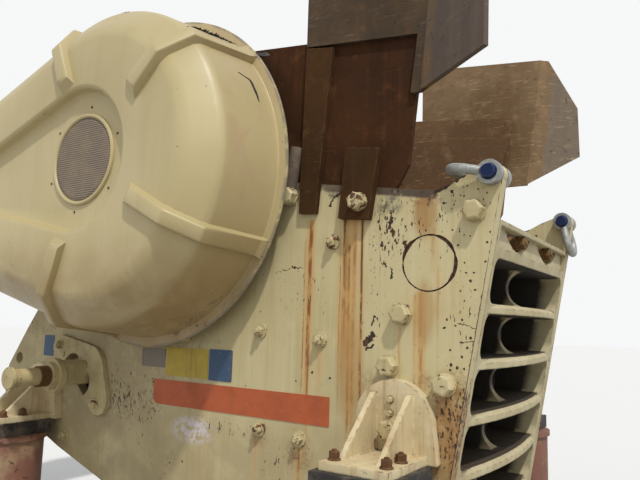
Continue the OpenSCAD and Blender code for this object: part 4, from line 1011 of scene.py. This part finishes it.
def moulded_guard(name, side, stretched):
    """A moulded shell: rings drawn out from the screen hole over the channel, face, shoulder, drum and rim."""
    shaft, motor = world(SHAFT[0], 0, SHAFT[1]), world(MOTOR[0], 0, MOTOR[1])
    reach = (motor - shaft).length
    tangent = math.acos((FACE_R - FACE_END_R) / 1000 / reach) if stretched else 0
    drum = SHOULDER_W + DRUM_FLARE
    screen = world(*((SCREEN[0], 0, SCREEN[1]) if stretched else (SHAFT[0], 0, SHAFT[1])))
    channel = world(SHAFT[0] - 92, 0, SHAFT[1] + 28) if stretched else shaft
    channel_end = world(SHAFT[0] - 1220, 0, SHAFT[1] - 35)
    # Each ring: the middle and radius of its big arc, those of its motor arc, and how far out it stands
    rings = [(screen, SCREEN_R - 20, screen, SCREEN_R - 20, FACE_Y - CHANNEL_DEPTH)]
    rings.append((channel, 385, channel_end, 85, FACE_Y - CHANNEL_DEPTH))
    rings.append((channel, 399, channel_end, 99, FACE_Y))
    for grow, y in (
        (0, FACE_Y),
        (SHOULDER_W, SHOULDER_Y),
        (drum, RIM_Y + 12),
        (drum + RIM_W, RIM_Y + 12),
        (drum + RIM_W, RIM_Y + 1),
    ):
        rings.append((shaft, FACE_R + grow, motor, FACE_END_R + grow, y))
    first = rings[0]
    piece = begin(
        name,
        bpy.ops.mesh.primitive_circle_add,
        vertices=ARC_STEPS,
        radius=first[1] / 1000,
        location=(first[0].x, side * first[4] / 1000, first[0].z),
        rotation=(math.pi / 2, 0, 0),
    )
    settle(piece)
    with editing(piece, "VERT") as mesh:
        mesh.verts.ensure_lookup_table()
        near_motor = [abs(ring_angle(v, first[0])) < tangent for v in mesh.verts]
        current = [v.index for v in mesh.verts]
        for before, ring in zip(rings, rings[1:]):
            mesh = bmesh.from_edit_mesh(piece.data)
            count = len(mesh.verts)
            mesh.verts.ensure_lookup_table()
            bpy.ops.mesh.select_all(action="DESELECT")
            for i in current:
                mesh.verts[i].select_set(True)
            mesh.select_flush(True)
            order = {tuple(round(c, 7) for c in mesh.verts[i].co): k for k, i in enumerate(current)}
            bpy.ops.mesh.extrude_edges_move()
            mesh = bmesh.from_edit_mesh(piece.data)
            mesh.verts.ensure_lookup_table()
            fresh = sorted(
                range(count, len(mesh.verts)), key=lambda i: order[tuple(round(c, 7) for c in mesh.verts[i].co)]
            )
            for part in (False, True):
                if part and not stretched:
                    continue
                bpy.ops.mesh.select_all(action="DESELECT")
                mesh = bmesh.from_edit_mesh(piece.data)
                mesh.verts.ensure_lookup_table()
                for k, i in enumerate(fresh):
                    if near_motor[k] == part:
                        mesh.verts[i].select_set(True)
                old, new = (before[2], ring[2]) if part else (before[0], ring[0])
                r_old, r_new = (before[3], ring[3]) if part else (before[1], ring[1])
                middle = (old.x, side * before[4] / 1000, old.z)
                if abs(r_new - r_old) > 0.01:
                    bpy.ops.transform.resize(value=(r_new / r_old,) * 3, center_override=middle)
                shift = (new.x - old.x, side * (ring[4] - before[4]) / 1000, new.z - old.z)
                bpy.ops.transform.translate(value=shift)
            current = fresh
        bpy.ops.mesh.select_all(action="SELECT")
        bpy.ops.mesh.remove_doubles(threshold=0.0002)
        bpy.ops.mesh.select_mode(type="EDGE")

        def crease(edge, y, low, high):
            a, b = (v.co for v in edge.verts)
            if abs(abs(a.y) - y / 1000) > 1e-4 or abs(abs(b.y) - y / 1000) > 1e-4:
                return False
            if len(edge.link_faces) < 2:
                return False
            turn = edge.calc_face_angle(0)
            return low < turn < high

        for y, low, high, width, segments in (
            (SHOULDER_Y, 0.2, 3, 0.03, 5),
            (FACE_Y - CHANNEL_DEPTH, 0.2, 3, 0.018, 3),
            (FACE_Y, 0.9, 3, 0.022, 4),
            (FACE_Y, 0.4, 0.9, 0.045, 6),
            (RIM_Y + 12, 0.6, 3, 0.006, 3),
        ):
            pick(piece, lambda e: crease(e, y, low, high), "edges")
            bpy.ops.mesh.bevel(offset=width, offset_type="OFFSET", segments=segments, affect="EDGES")
        if stretched:
            pick(piece, lambda e: e.calc_length() > 0.5, "edges")
            bpy.ops.mesh.subdivide(number_cuts=24, quadcorner="INNERVERT")
        face_outward()
        mesh = bmesh.from_edit_mesh(piece.data)
        level = [f for f in mesh.faces if abs(abs(f.calc_center_median().y) - FACE_Y / 1000) < 1e-3]
        face = max(level, key=lambda f: f.calc_area())
        if face.normal.y * side < 0:
            bpy.ops.mesh.flip_normals()
    modify(piece, "SOLIDIFY", thickness=0.01, offset=-1.0)
    return smooth(piece, 40)


def guard_rib(name, side, angle, start, width):
    """A raised rib drawn over the face, shoulder and drum of a guard, with drafted sides and round edges."""
    h = 38
    a = math.radians(angle)
    shoulder, drum = FACE_R + SHOULDER_W, DRUM_R
    outline = [
        (start, FACE_Y - 2),
        (start + 55, FACE_Y + h),
        (FACE_R + 12, FACE_Y + h),
        (shoulder + h * 0.8, SHOULDER_Y + h * 0.7),
        (drum + h * 0.6, RIM_Y + 60),
        (drum + RIM_W - 8, RIM_Y + 13),
        (drum - 10, RIM_Y + 13),
        (shoulder - 10, SHOULDER_Y),
        (FACE_R - 4, FACE_Y - 8),
    ]
    raised = (1, 2, 3, 4)
    piece = begin(name, bpy.ops.mesh.primitive_circle_add, vertices=len(outline), radius=1, fill_type="NGON")
    with editing(piece) as mesh:
        mesh.verts.ensure_lookup_table()
        for vertex, (r, y) in zip(mesh.verts, outline):
            vertex.co = (r / 1000, -width / 2000, y / 1000)
        bmesh.update_edit_mesh(piece.data)
        bpy.ops.mesh.select_all(action="SELECT")
        bpy.ops.mesh.extrude_region_move(TRANSFORM_OT_translate={"value": (0, width / 1000, 0)})
        tops = [outline[i] for i in raised]

        def on_top(v):
            return any(abs(v.co.x - r / 1000) < 1e-4 and abs(v.co.z - y / 1000) < 1e-4 for r, y in tops)

        pick(piece, on_top, "verts")
        bpy.ops.transform.resize(value=(1, 0.72, 1), center_override=(0, 0, 0))
        face_outward()
        bpy.ops.mesh.select_mode(type="EDGE")
        pick(piece, lambda e: e.calc_face_angle(0) > 0.15 and all(on_top(v) for v in e.verts), "edges")
        bpy.ops.mesh.bevel(offset=0.012, offset_type="OFFSET", segments=3, affect="EDGES")
    turn = Matrix.Rotation(-a, 4, "Y")
    # The rib is drawn with its outward direction along +Z, and is turned to stand out to its side
    stand = Matrix(((1, 0, 0, 0), (0, 0, side, 0), (0, 1, 0, 0), (0, 0, 0, 1)))
    piece.data.transform(Matrix.Translation(world(SHAFT[0], 0, SHAFT[1])) @ turn @ stand)
    with editing(piece):
        face_outward()
    return smooth(piece, 40)


class CrusherLook(bpy.types.PropertyGroup):
    cream: bpy.props.FloatVectorProperty(
        name="Cream Paint", description="Colour of the frame",
        subtype="COLOR", default=tone("#beb288"), min=0, max=1
    )
    guard: bpy.props.FloatVectorProperty(
        name="Guard Shell", description="Colour of the guards",
        subtype="COLOR", default=tone("#b9ab80"), min=0, max=1
    )
    rib_width: bpy.props.FloatProperty(
        name="Rib Width", description="Width of the ribs of the guards",
        default=0.11, min=0.05, max=0.2, unit="LENGTH"
    )


class CrusherFasteners(bpy.types.PropertyGroup):
    plate_bolt: bpy.props.FloatProperty(
        name="Plate Bolt", description="Across flats of the big bolts",
        default=0.085, min=0.05, max=0.11, unit="LENGTH"
    )
    stud_nut: bpy.props.FloatProperty(
        name="Stud Nut", description="Across flats of the small nuts",
        default=0.046, min=0.03, max=0.06, unit="LENGTH"
    )


class CrusherStudio(bpy.types.PropertyGroup):
    sun: bpy.props.FloatProperty(
        name="Key Light", description="Strength of the key light", default=2.66, min=0, max=10
    )
    sky: bpy.props.FloatProperty(
        name="Fill Light", description="Strength of the even light", default=0.9, min=0, max=2
    )
    floor_size: bpy.props.FloatProperty(
        name="Floor", description="Side of the floor", default=120.0, min=10, max=400, unit="LENGTH"
    )


class CRUSHER_OT_studio(bpy.types.Operator):
    """Makes the floor, the lamps, the pale background and the camera"""

    bl_idname = "crusher.studio"
    bl_label = "Studio"

    def execute(self, context):
        studio = context.scene.crusher_studio
        scene = context.scene
        scene.view_settings.view_transform = "Standard"
        plane = bpy.ops.mesh.primitive_plane_add
        floor = begin("studio_floor", plane, size=studio.floor_size, location=(0, 0, -0.002))
        settle(floor)
        with editing(floor):
            bpy.ops.mesh.select_all(action="SELECT")
            bpy.ops.mesh.subdivide(number_cuts=4)
        material = bpy.data.materials.new("studio_floor")
        material.use_nodes = True
        nodes = Nodes(material.node_tree)
        pale = nodes.tree.nodes["Principled BSDF"]
        nodes.link((0.56, 0.56, 0.555), pale.inputs["Base Color"])
        nodes.link(0.9, pale.inputs["Roughness"])
        # Light that bounces off the floor is held back, as off gravel, so undersides stay in shade
        dull = nodes.node("ShaderNodeBsdfDiffuse", {"Color": (0.3, 0.28, 0.25)})
        nodes.link(nodes.by_ray(dull, pale), nodes.tree.nodes["Material Output"].inputs["Surface"])
        floor.data.materials.append(material)
        world_data = bpy.data.worlds.new("studio")
        scene.world = world_data
        world_data.use_nodes = True
        nodes = Nodes(world_data.node_tree)
        nodes.tree.nodes.clear()
        light = nodes.node("ShaderNodeBackground", {"Color": (0.97, 0.985, 1), "Strength": studio.sky})
        seen = nodes.node("ShaderNodeBackground", {"Color": (0.93, 0.935, 0.94), "Strength": 1.0})
        nodes.node("ShaderNodeOutputWorld", {0: nodes.by_ray(light, seen)})
        lamp = bpy.data.lights.new("key_light", "SUN")
        lamp.energy = studio.sun
        lamp.angle = math.radians(2.5)
        lamp.color = (1, 0.98, 0.94)
        key = bpy.data.objects.new("key_light", lamp)
        scene.collection.objects.link(key)
        toward = Vector(LAMP_FROM).normalized()
        key.matrix_world = toward.to_track_quat("Z", "Y").to_matrix().to_4x4()
        lens = bpy.data.cameras.new("photo_camera")
        lens.lens, lens.sensor_width = LENS_MM, 36
        lens.clip_end = 300
        camera = bpy.data.objects.new("photo_camera", lens)
        scene.collection.objects.link(camera)
        ahead = Vector((-math.sin(YAW) * math.cos(PITCH), math.cos(YAW) * math.cos(PITCH), math.sin(PITCH)))
        level = Vector((math.cos(YAW), math.sin(YAW), 0))
        down = ahead.cross(level)
        right = math.cos(ROLL) * level + math.sin(ROLL) * down
        below = -math.sin(ROLL) * level + math.cos(ROLL) * down
        axes = Matrix((right, -below, -ahead)).transposed()
        camera.matrix_world = Matrix.Translation(CAMERA_AT) @ axes.to_4x4()
        scene.camera = camera
        return {"FINISHED"}


class CRUSHER_OT_finishes(bpy.types.Operator):
    """Gives every part of the frame its worn finish"""

    bl_idname = "crusher.finishes"
    bl_label = "Finishes"

    def execute(self, context):
        made = make_finishes(context.scene.crusher_look)
        for part in frame["record"]["subparts"]:
            node = frame["nodes"][part["node"]]
            finish = made[OWN_FINISH.get(part["node"], part["material_slot"])]
            for slot in node.material_slots:
                slot.material = finish
            if not node.material_slots:
                node.data.materials.append(finish)
        return {"FINISHED"}


class CRUSHER_OT_guards(bpy.types.Operator):
    """Models the moulded guards with their channels, shoulders, rims and ribs"""

    bl_idname = "crusher.guards"
    bl_label = "Guards"

    def execute(self, context):
        width = context.scene.crusher_look.rib_width * 1000
        for name, side in SIDES.items():
            shell = moulded_guard(f"{name}_guard_shell", side, name == "drive")
            if name == "drive":
                spans = [(112, 470), (43, 470), (-27.6, 420), (-108, 430)]
            else:
                spans = [(45, 425), (135, 425), (225, 425), (315, 425)]
            ribs = [guard_rib(f"rib_{i}", side, a, start, width) for i, (a, start) in enumerate(spans)]
            piece = join_as(f"{name}_guard_shell", [shell, *ribs])
            finished(piece, FINISHES["guard_shell"])
            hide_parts(f"{name}_guard")
        return {"FINISHED"}


class CRUSHER_OT_screens(bpy.types.Operator):
    """Models the wire screens of the guards with their rims and screws"""

    bl_idname = "crusher.screens"
    bl_label = "Guard Screens"

    def execute(self, context):
        for name, side in SIDES.items():
            x, z = SCREEN if name == "drive" else SHAFT
            seat = FACE_Y - CHANNEL_DEPTH
            middle = world(x, side * seat, z)
            mesh_disc = begin(
                "wire",
                bpy.ops.mesh.primitive_circle_add,
                vertices=96,
                radius=(SCREEN_R - 10) / 1000,
                fill_type="NGON",
                location=middle + Vector((0, side * 0.003, 0)),
                rotation=(side * -math.pi / 2, 0, 0),
            )
            settle(mesh_disc)
            with editing(mesh_disc):
                bpy.ops.mesh.select_all(action="SELECT")
                bpy.ops.mesh.inset(thickness=0.02)
                bpy.ops.transform.translate(value=(0, side * 0.006, 0))
            modify(mesh_disc, "SOLIDIFY", thickness=0.003, offset=-1.0)
            piece = finished(mesh_disc, FINISHES["screen_wire"])
            named(piece, f"{name}_screen_wire")
            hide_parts(f"{name}_guard_screen")
            proud = middle + Vector((0, side * 0.003, 0))
            rim = torus(f"{name}_screen_rim", SCREEN_R / 1000, 0.012, proud, 96, 12)
            smooth(rim, 60)
            finished(rim, FINISHES["guard_shell"])
            screw = hex_bolt(9, 3, 1.5, 1.5)
            places = []
            for k in range(6):
                a = math.radians(22 + 60 * k)
                r = SCREEN_R + 48
                spot_at = world(x + r * math.cos(a), side * (seat + 0.5), z + r * math.sin(a))
                places.append(Matrix.Translation(spot_at) @ facing((0, side, 0), 17 * k))
            fasteners(f"{name}_screen_screws", screw, places, "stud_rust")
        return {"FINISHED"}


def on_guard(angle, y, off=0.0):
    """A point on the drive guard's drum: its angle round the shaft, distance from the middle and height."""
    r = FACE_R + SHOULDER_W + DRUM_FLARE * (SHOULDER_Y - y) / (SHOULDER_Y - RIM_Y) + off
    a = math.radians(angle)
    return world(SHAFT[0] + r * math.cos(a), -y, SHAFT[1] + r * math.sin(a))


def sheet(columns, rows, thickness, place):
    """A thin sheet: a grid whose points go to their places, told by 0..1 along it and -0.5..0.5 across."""
    piece = begin("sheet", bpy.ops.mesh.primitive_grid_add, x_subdivisions=columns, y_subdivisions=rows, size=1)
    with editing(piece, "VERT") as mesh:
        for v in mesh.verts:
            v.co = on_guard(*place(v.co.x + 0.5, v.co.y))
        bmesh.update_edit_mesh(piece.data)
    return modify(piece, "SOLIDIFY", thickness=thickness, offset=0.0)


def between(path, place):
    """The numbers at a place along a path of them: 1.5 lies midway between its second and third points."""
    k = min(int(place), len(path) - 2)
    return (a + (b - a) * (place - k) for a, b in zip(path[k], path[k + 1]))


def torn_strip(path, rng, low, high, every=2):
    """A ragged strip on the guard along a path of angle, distance and height, with hair-like ends."""

    def place(share, across):
        at = share * (len(path) - 1)
        angle, y, off = between(path, at)
        if across <= 0:
            return angle, y, off - 3
        spike = round(at * 9) % every == 0
        off += rng.uniform(low, high) * math.sin(math.pi * min(0.96, max(0.04, share))) if spike else 2.5
        angle += rng.uniform(-0.7, 0.7)
        y -= rng.uniform(4, 22) if spike else 0
        return angle, y, off

    return sheet(9 * (len(path) - 1), 1, 0.004, place)


class CRUSHER_OT_torn_seal(bpy.types.Operator):
    """Models the torn black seal over the drive guard's drum, the crack, the loose flap and the small catch"""

    bl_idname = "crusher.torn_seal"
    bl_label = "Torn Guard Seal"

    def execute(self, context):
        rng = random.Random(41)
        top = [(86, 1238, 2), (83, 1232, 3), (80, 1205, 3), (78, 1170, 2), (76, 1128, 2), (73, 1090, 1)]
        edge = [(46.4, 1275, 22), (46, 1235, 30), (45.7, 1180, 32), (45.7, 1110, 34), (45.8, 1030, 34)]
        edge.append((46, 950, 33))
        pieces = [torn_strip(top, rng, 2, 11), torn_strip(edge, rng, 5, 20), torn_strip(edge[1:], rng, 2, 12, 3)]
        crack = [(30.6, 1050, 1), (29.6, 1015, 5), (28.9, 978, 9), (25.2, 972, 8), (22.5, 968, 6), (20.0, 968, 1)]

        def crack_place(share, across):
            angle, y, half = between(crack, share * (len(crack) - 1))
            return angle, y + (1 if across > 0 else -1) * half * rng.uniform(0.75, 1.15), 2.2

        pieces.append(sheet(12, 1, 0.003, crack_place))
        outside = RIM_W + DRUM_FLARE * 0.02
        for angle, y, long, off in ((40.5, RIM_Y + 6, 62, 12), (-118.7, RIM_Y + 30, 44, 2)):

            def flap_place(share, across):
                curl = off * share**2 * 2.2
                return angle + across * 1.6, y - share * long + 12 * across, outside + 2 + curl

            pieces.append(sheet(4, 2, 0.006, flap_place))
        seal = join_as("drive_guard_torn_seal", pieces)
        with editing(seal):
            face_outward()
        finished(seal, FINISHES["torn_rubber"])
        return {"FINISHED"}


# Where the bolts and the collared nuts sit on a side plate
BIG_BOLTS = ((-68, -173), (-415, -631), (-478, -871), (-205, -936))
SMALL_NUTS = ((-799, -279), (-1236, -736), (-859, -768), (-1220, -1237), (-966, -1258), (-2823, -1466))


class CRUSHER_OT_plate_bolts(bpy.types.Operator):
    """Models the big bolts and the small collared nuts of the side plates"""

    bl_idname = "crusher.plate_bolts"
    bl_label = "Side Plate Bolts"

    def execute(self, context):
        sizes = context.scene.crusher_fasteners
        for name, side in SIDES.items():
            rng = random.Random(11 + side)
            for kind, bolt, spots in (
                ("bolts", (sizes.plate_bolt * 1000, 46, 1.22, 8), BIG_BOLTS),
                ("studs", (sizes.stud_nut * 1000, 26, 1.7, 9, 16), SMALL_NUTS),
            ):
                head = hex_bolt(*bolt)
                places = [on_side(x, 0, z, side, rng.uniform(0, 60)) for x, z in spots]
                fasteners(f"{name}_plate_{kind}", head, places)
        return {"FINISHED"}


class CRUSHER_OT_hold_down_bolts(bpy.types.Operator):
    """Models the bolts through the hold-down bars of the chute"""

    bl_idname = "crusher.hold_down_bolts"
    bl_label = "Hold-down Bolts"

    def execute(self, context):
        for name, side in SIDES.items():
            bolt = hex_bolt(78, 44, 1.2, 8)
            places = [on_side(-634, 42, -95, side, 12), on_side(-1059, 20, -30, side, 40)]
            fasteners(f"{name}_hold_down_bolts", bolt, places)
        return {"FINISHED"}


def label_plate(name, low, high, finish, radius=8, rounded=4):
    """A thin bare label plate on the drive side plate between two corners in millimetres."""
    middle = beside((low[0] + high[0]) / 2, 1.6, (low[1] + high[1]) / 2)
    piece = begin(name, bpy.ops.mesh.primitive_cube_add, size=1, location=middle)
    piece.scale = ((high[0] - low[0]) / 1000, 0.0024, (high[1] - low[1]) / 1000)
    settle(piece)
    with editing(piece, "EDGE"):
        corner = Vector((place_x(low[0]), 0, place_z(low[1])))

        def upright_edge(e):
            a, b = (v.co for v in e.verts)
            if abs(a.y - b.y) < 1e-5:
                return False
            return rounded == 4 or (abs(a.x - corner.x) < 1e-4 and abs(a.z - corner.z) < 1e-4)

        pick(piece, upright_edge, "edges")
        bpy.ops.mesh.bevel(offset=radius / 1000, segments=6, affect="EDGES")
    return finished(piece, finish)


class CRUSHER_OT_label_plates(bpy.types.Operator):
    """Models the bare coloured plates on the drive side plate"""

    bl_idname = "crusher.label_plates"
    bl_label = "Bare Label Plates"

    def execute(self, context):
        for name, low, high, *shape in (
            ("band", (-2023, -1183), (-797, -1041), 45, 1),
            ("blue", (-1593, -1019), (-1425, -848)),
            ("yellow", (-1930, -1015), (-1602, -851)),
            ("grey", (-2139, -973), (-1942, -866)),
            ("small_blue", (-3134, -964), (-3025, -825)),
        ):
            label_plate(f"label_{name}", low, high, FINISHES[name.removeprefix("small_")], *shape)
        return {"FINISHED"}


class CRUSHER_OT_foot_fittings(bpy.types.Operator):
    """Models the bolts and stacked nuts of the four feet"""

    bl_idname = "crusher.foot_fittings"
    bl_label = "Foot Fittings"

    def execute(self, context):
        rng = random.Random(5)
        big, nuts = [], []
        for side in SIDES.values():
            for back, drop in FEET:
                big.append(on_side(-back - 7, 55, -drop + 95, side, rng.uniform(0, 60)))
                for x in (-110, 130):
                    for out in (230, 360):
                        nuts.append(
                            Matrix.Translation(beside(-back + x, out, -drop, side))
                            @ facing((0, 0, 1), rng.uniform(0, 60))
                        )
                for z in (165, 225):
                    small = Matrix.Scale(0.32, 4)
                    big.append(on_side(-back - 9, 55, -drop + z, side, rng.uniform(0, 60)) @ small)
        fasteners("foot_bolts", hex_bolt(80, 44, 1.2, 8), big)
        fasteners("foot_studs", hex_bolt(40, 30, 1.4, 6, stud=8), nuts, "stud_rust")
        return {"FINISHED"}


class CRUSHER_OT_setting_fittings(bpy.types.Operator):
    """Models the bolts and rings of the setting units"""

    bl_idname = "crusher.setting_fittings"
    bl_label = "Setting Unit Fittings"

    def execute(self, context):
        for name, side in SIDES.items():
            bolt = hex_bolt(46, 24, 1.5, 6, stud=8)
            places = [
                on_side(x, 32, z, side, 10 * i)
                for i, (x, z) in enumerate([(-2914, -880), (-2701, -990), (-2513, -1232)])
            ]
            fasteners(f"{name}_setting_bolts", bolt, places)
            ring = begin(
                "ring",
                bpy.ops.mesh.primitive_torus_add,
                major_segments=48,
                minor_segments=8,
                major_radius=0.058,
                minor_radius=0.0055,
            )
            places = [on_side(SETTING[0], out, SETTING[1], side) for out in range(270, 327, 14)]
            rings = smooth(copies(ring, f"{name}_setting_rings", places), 60)
            finished(rings, FINISHES["rusty_clamp"])
        return {"FINISHED"}


class CRUSHER_OT_recess_fittings(bpy.types.Operator):
    """Models the rusty nuts and collars of the jaw clamps in the recess on top of the front frame"""

    bl_idname = "crusher.recess_fittings"
    bl_label = "Frame Recess Fittings"

    def execute(self, context):
        facing_front, facing_in = [], []
        for side in SIDES.values():
            facing_front.append(Matrix.Translation(world(-60, side * 262, -270)) @ facing((1, 0, 0.12), 14))
            facing_in.append(Matrix.Translation(world(-52, side * 452, -274)) @ facing((0, -side, 0), 8))
        fasteners("clamp_nuts", hex_bolt(60, 34, 1.3, 46, stud=10), facing_front, "rusty_clamp")
        fasteners("clamp_stops", hex_bolt(48, 40, 1.25, 32, stud=26), facing_in, "rusty_clamp")
        return {"FINISHED"}


class CRUSHER_OT_motor_fittings(bpy.types.Operator):
    """Models the foot bolts, the cowl's grille rings and the lifting eye of the motor"""

    bl_idname = "crusher.motor_fittings"
    bl_label = "Motor Fittings"

    def execute(self, context):
        bed = MOTOR[1] - MOTOR_HEIGHT
        places = [
            Matrix.Translation(world(MOTOR[0] + s * 252, y, bed + 130)) @ facing((0, 0, 1), 13 * s)
            for s in (-1, 1)
            for y in (-560, 190)
        ]
        fasteners("motor_bolts", hex_bolt(36, 18, 1.4, 5), places, "stud_rust")
        grille = []
        for radius in (236, 190, 144, 98, 52):
            grille.append(torus("ring", radius / 1000, 0.005, world(MOTOR[0], MOTOR_END, MOTOR[1]), 72, 8))
        for k in range(4):
            bar = begin("bar", bpy.ops.mesh.primitive_cylinder_add, vertices=10, radius=0.005, depth=0.48)
            turn = Matrix.Rotation(math.radians(45 * k), 4, "Y")
            bar.data.transform(Matrix.Translation(world(MOTOR[0], MOTOR_END, MOTOR[1])) @ turn)
            grille.append(bar)
        finished(smooth(join_as("motor_grille", grille), 60), FINISHES["motor_paint"])
        eye = torus("motor_eye", 0.034, 0.009, world(MOTOR[0], 200, MOTOR[1] + 326), 36, 12)
        finished(smooth(eye, 60), FINISHES["stud_rust"])
        return {"FINISHED"}


class CRUSHER_OT_welds(bpy.types.Operator):
    """Models the weld seams of the feet"""

    bl_idname = "crusher.welds"
    bl_label = "Weld Seams"

    def execute(self, context):
        runs = []
        for side in SIDES.values():
            for back, drop in FEET:
                for s in (-1, 1):
                    for edge in (-14, 14):
                        x = -back + s * 89 + edge
                        corners = ((56, 250), (56, 0), (340, 0))
                        runs.append([beside(x, out, up - drop, side) for out, up in corners])
        piece = weld_bead("foot_welds", runs, 12)
        finished(piece, FINISHES["foot_paint"])
        return {"FINISHED"}


STEPS = (
    CRUSHER_OT_studio,
    CRUSHER_OT_finishes,
    CRUSHER_OT_guards,
    CRUSHER_OT_screens,
    CRUSHER_OT_torn_seal,
    CRUSHER_OT_plate_bolts,
    CRUSHER_OT_hold_down_bolts,
    CRUSHER_OT_label_plates,
    CRUSHER_OT_foot_fittings,
    CRUSHER_OT_setting_fittings,
    CRUSHER_OT_recess_fittings,
    CRUSHER_OT_motor_fittings,
    CRUSHER_OT_welds,
)


class VIEW3D_PT_crusher(bpy.types.Panel):
    """Lists the sizes, the colours and the steps of the crusher's dressing"""

    bl_label = "Jaw Crusher"
    bl_space_type = "VIEW_3D"
    bl_region_type = "UI"
    bl_category = "Crusher"

    def draw(self, context):
        layout = self.layout
        scene = context.scene
        for group in (scene.crusher_look, scene.crusher_fasteners, scene.crusher_studio):
            for key in group.bl_rna.properties.keys():
                if key not in ("rna_type", "name"):
                    layout.prop(group, key)
        for step in STEPS:
            layout.operator(step.bl_idname)


CLASSES = (CrusherLook, CrusherFasteners, CrusherStudio, *STEPS, VIEW3D_PT_crusher)


def register():
    for kind in CLASSES:
        bpy.utils.register_class(kind)
    bpy.types.Scene.crusher_look = bpy.props.PointerProperty(type=CrusherLook)
    bpy.types.Scene.crusher_fasteners = bpy.props.PointerProperty(type=CrusherFasteners)
    bpy.types.Scene.crusher_studio = bpy.props.PointerProperty(type=CrusherStudio)


def unregister():
    del bpy.types.Scene.crusher_studio
    del bpy.types.Scene.crusher_fasteners
    del bpy.types.Scene.crusher_look
    for kind in reversed(CLASSES):
        bpy.utils.unregister_class(kind)


def main():
    """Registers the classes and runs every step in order."""
    register()
    for step in STEPS:
        group, name = step.bl_idname.split(".")
        getattr(getattr(bpy.ops, group), name)()


if __name__ == "__main__":
    main()
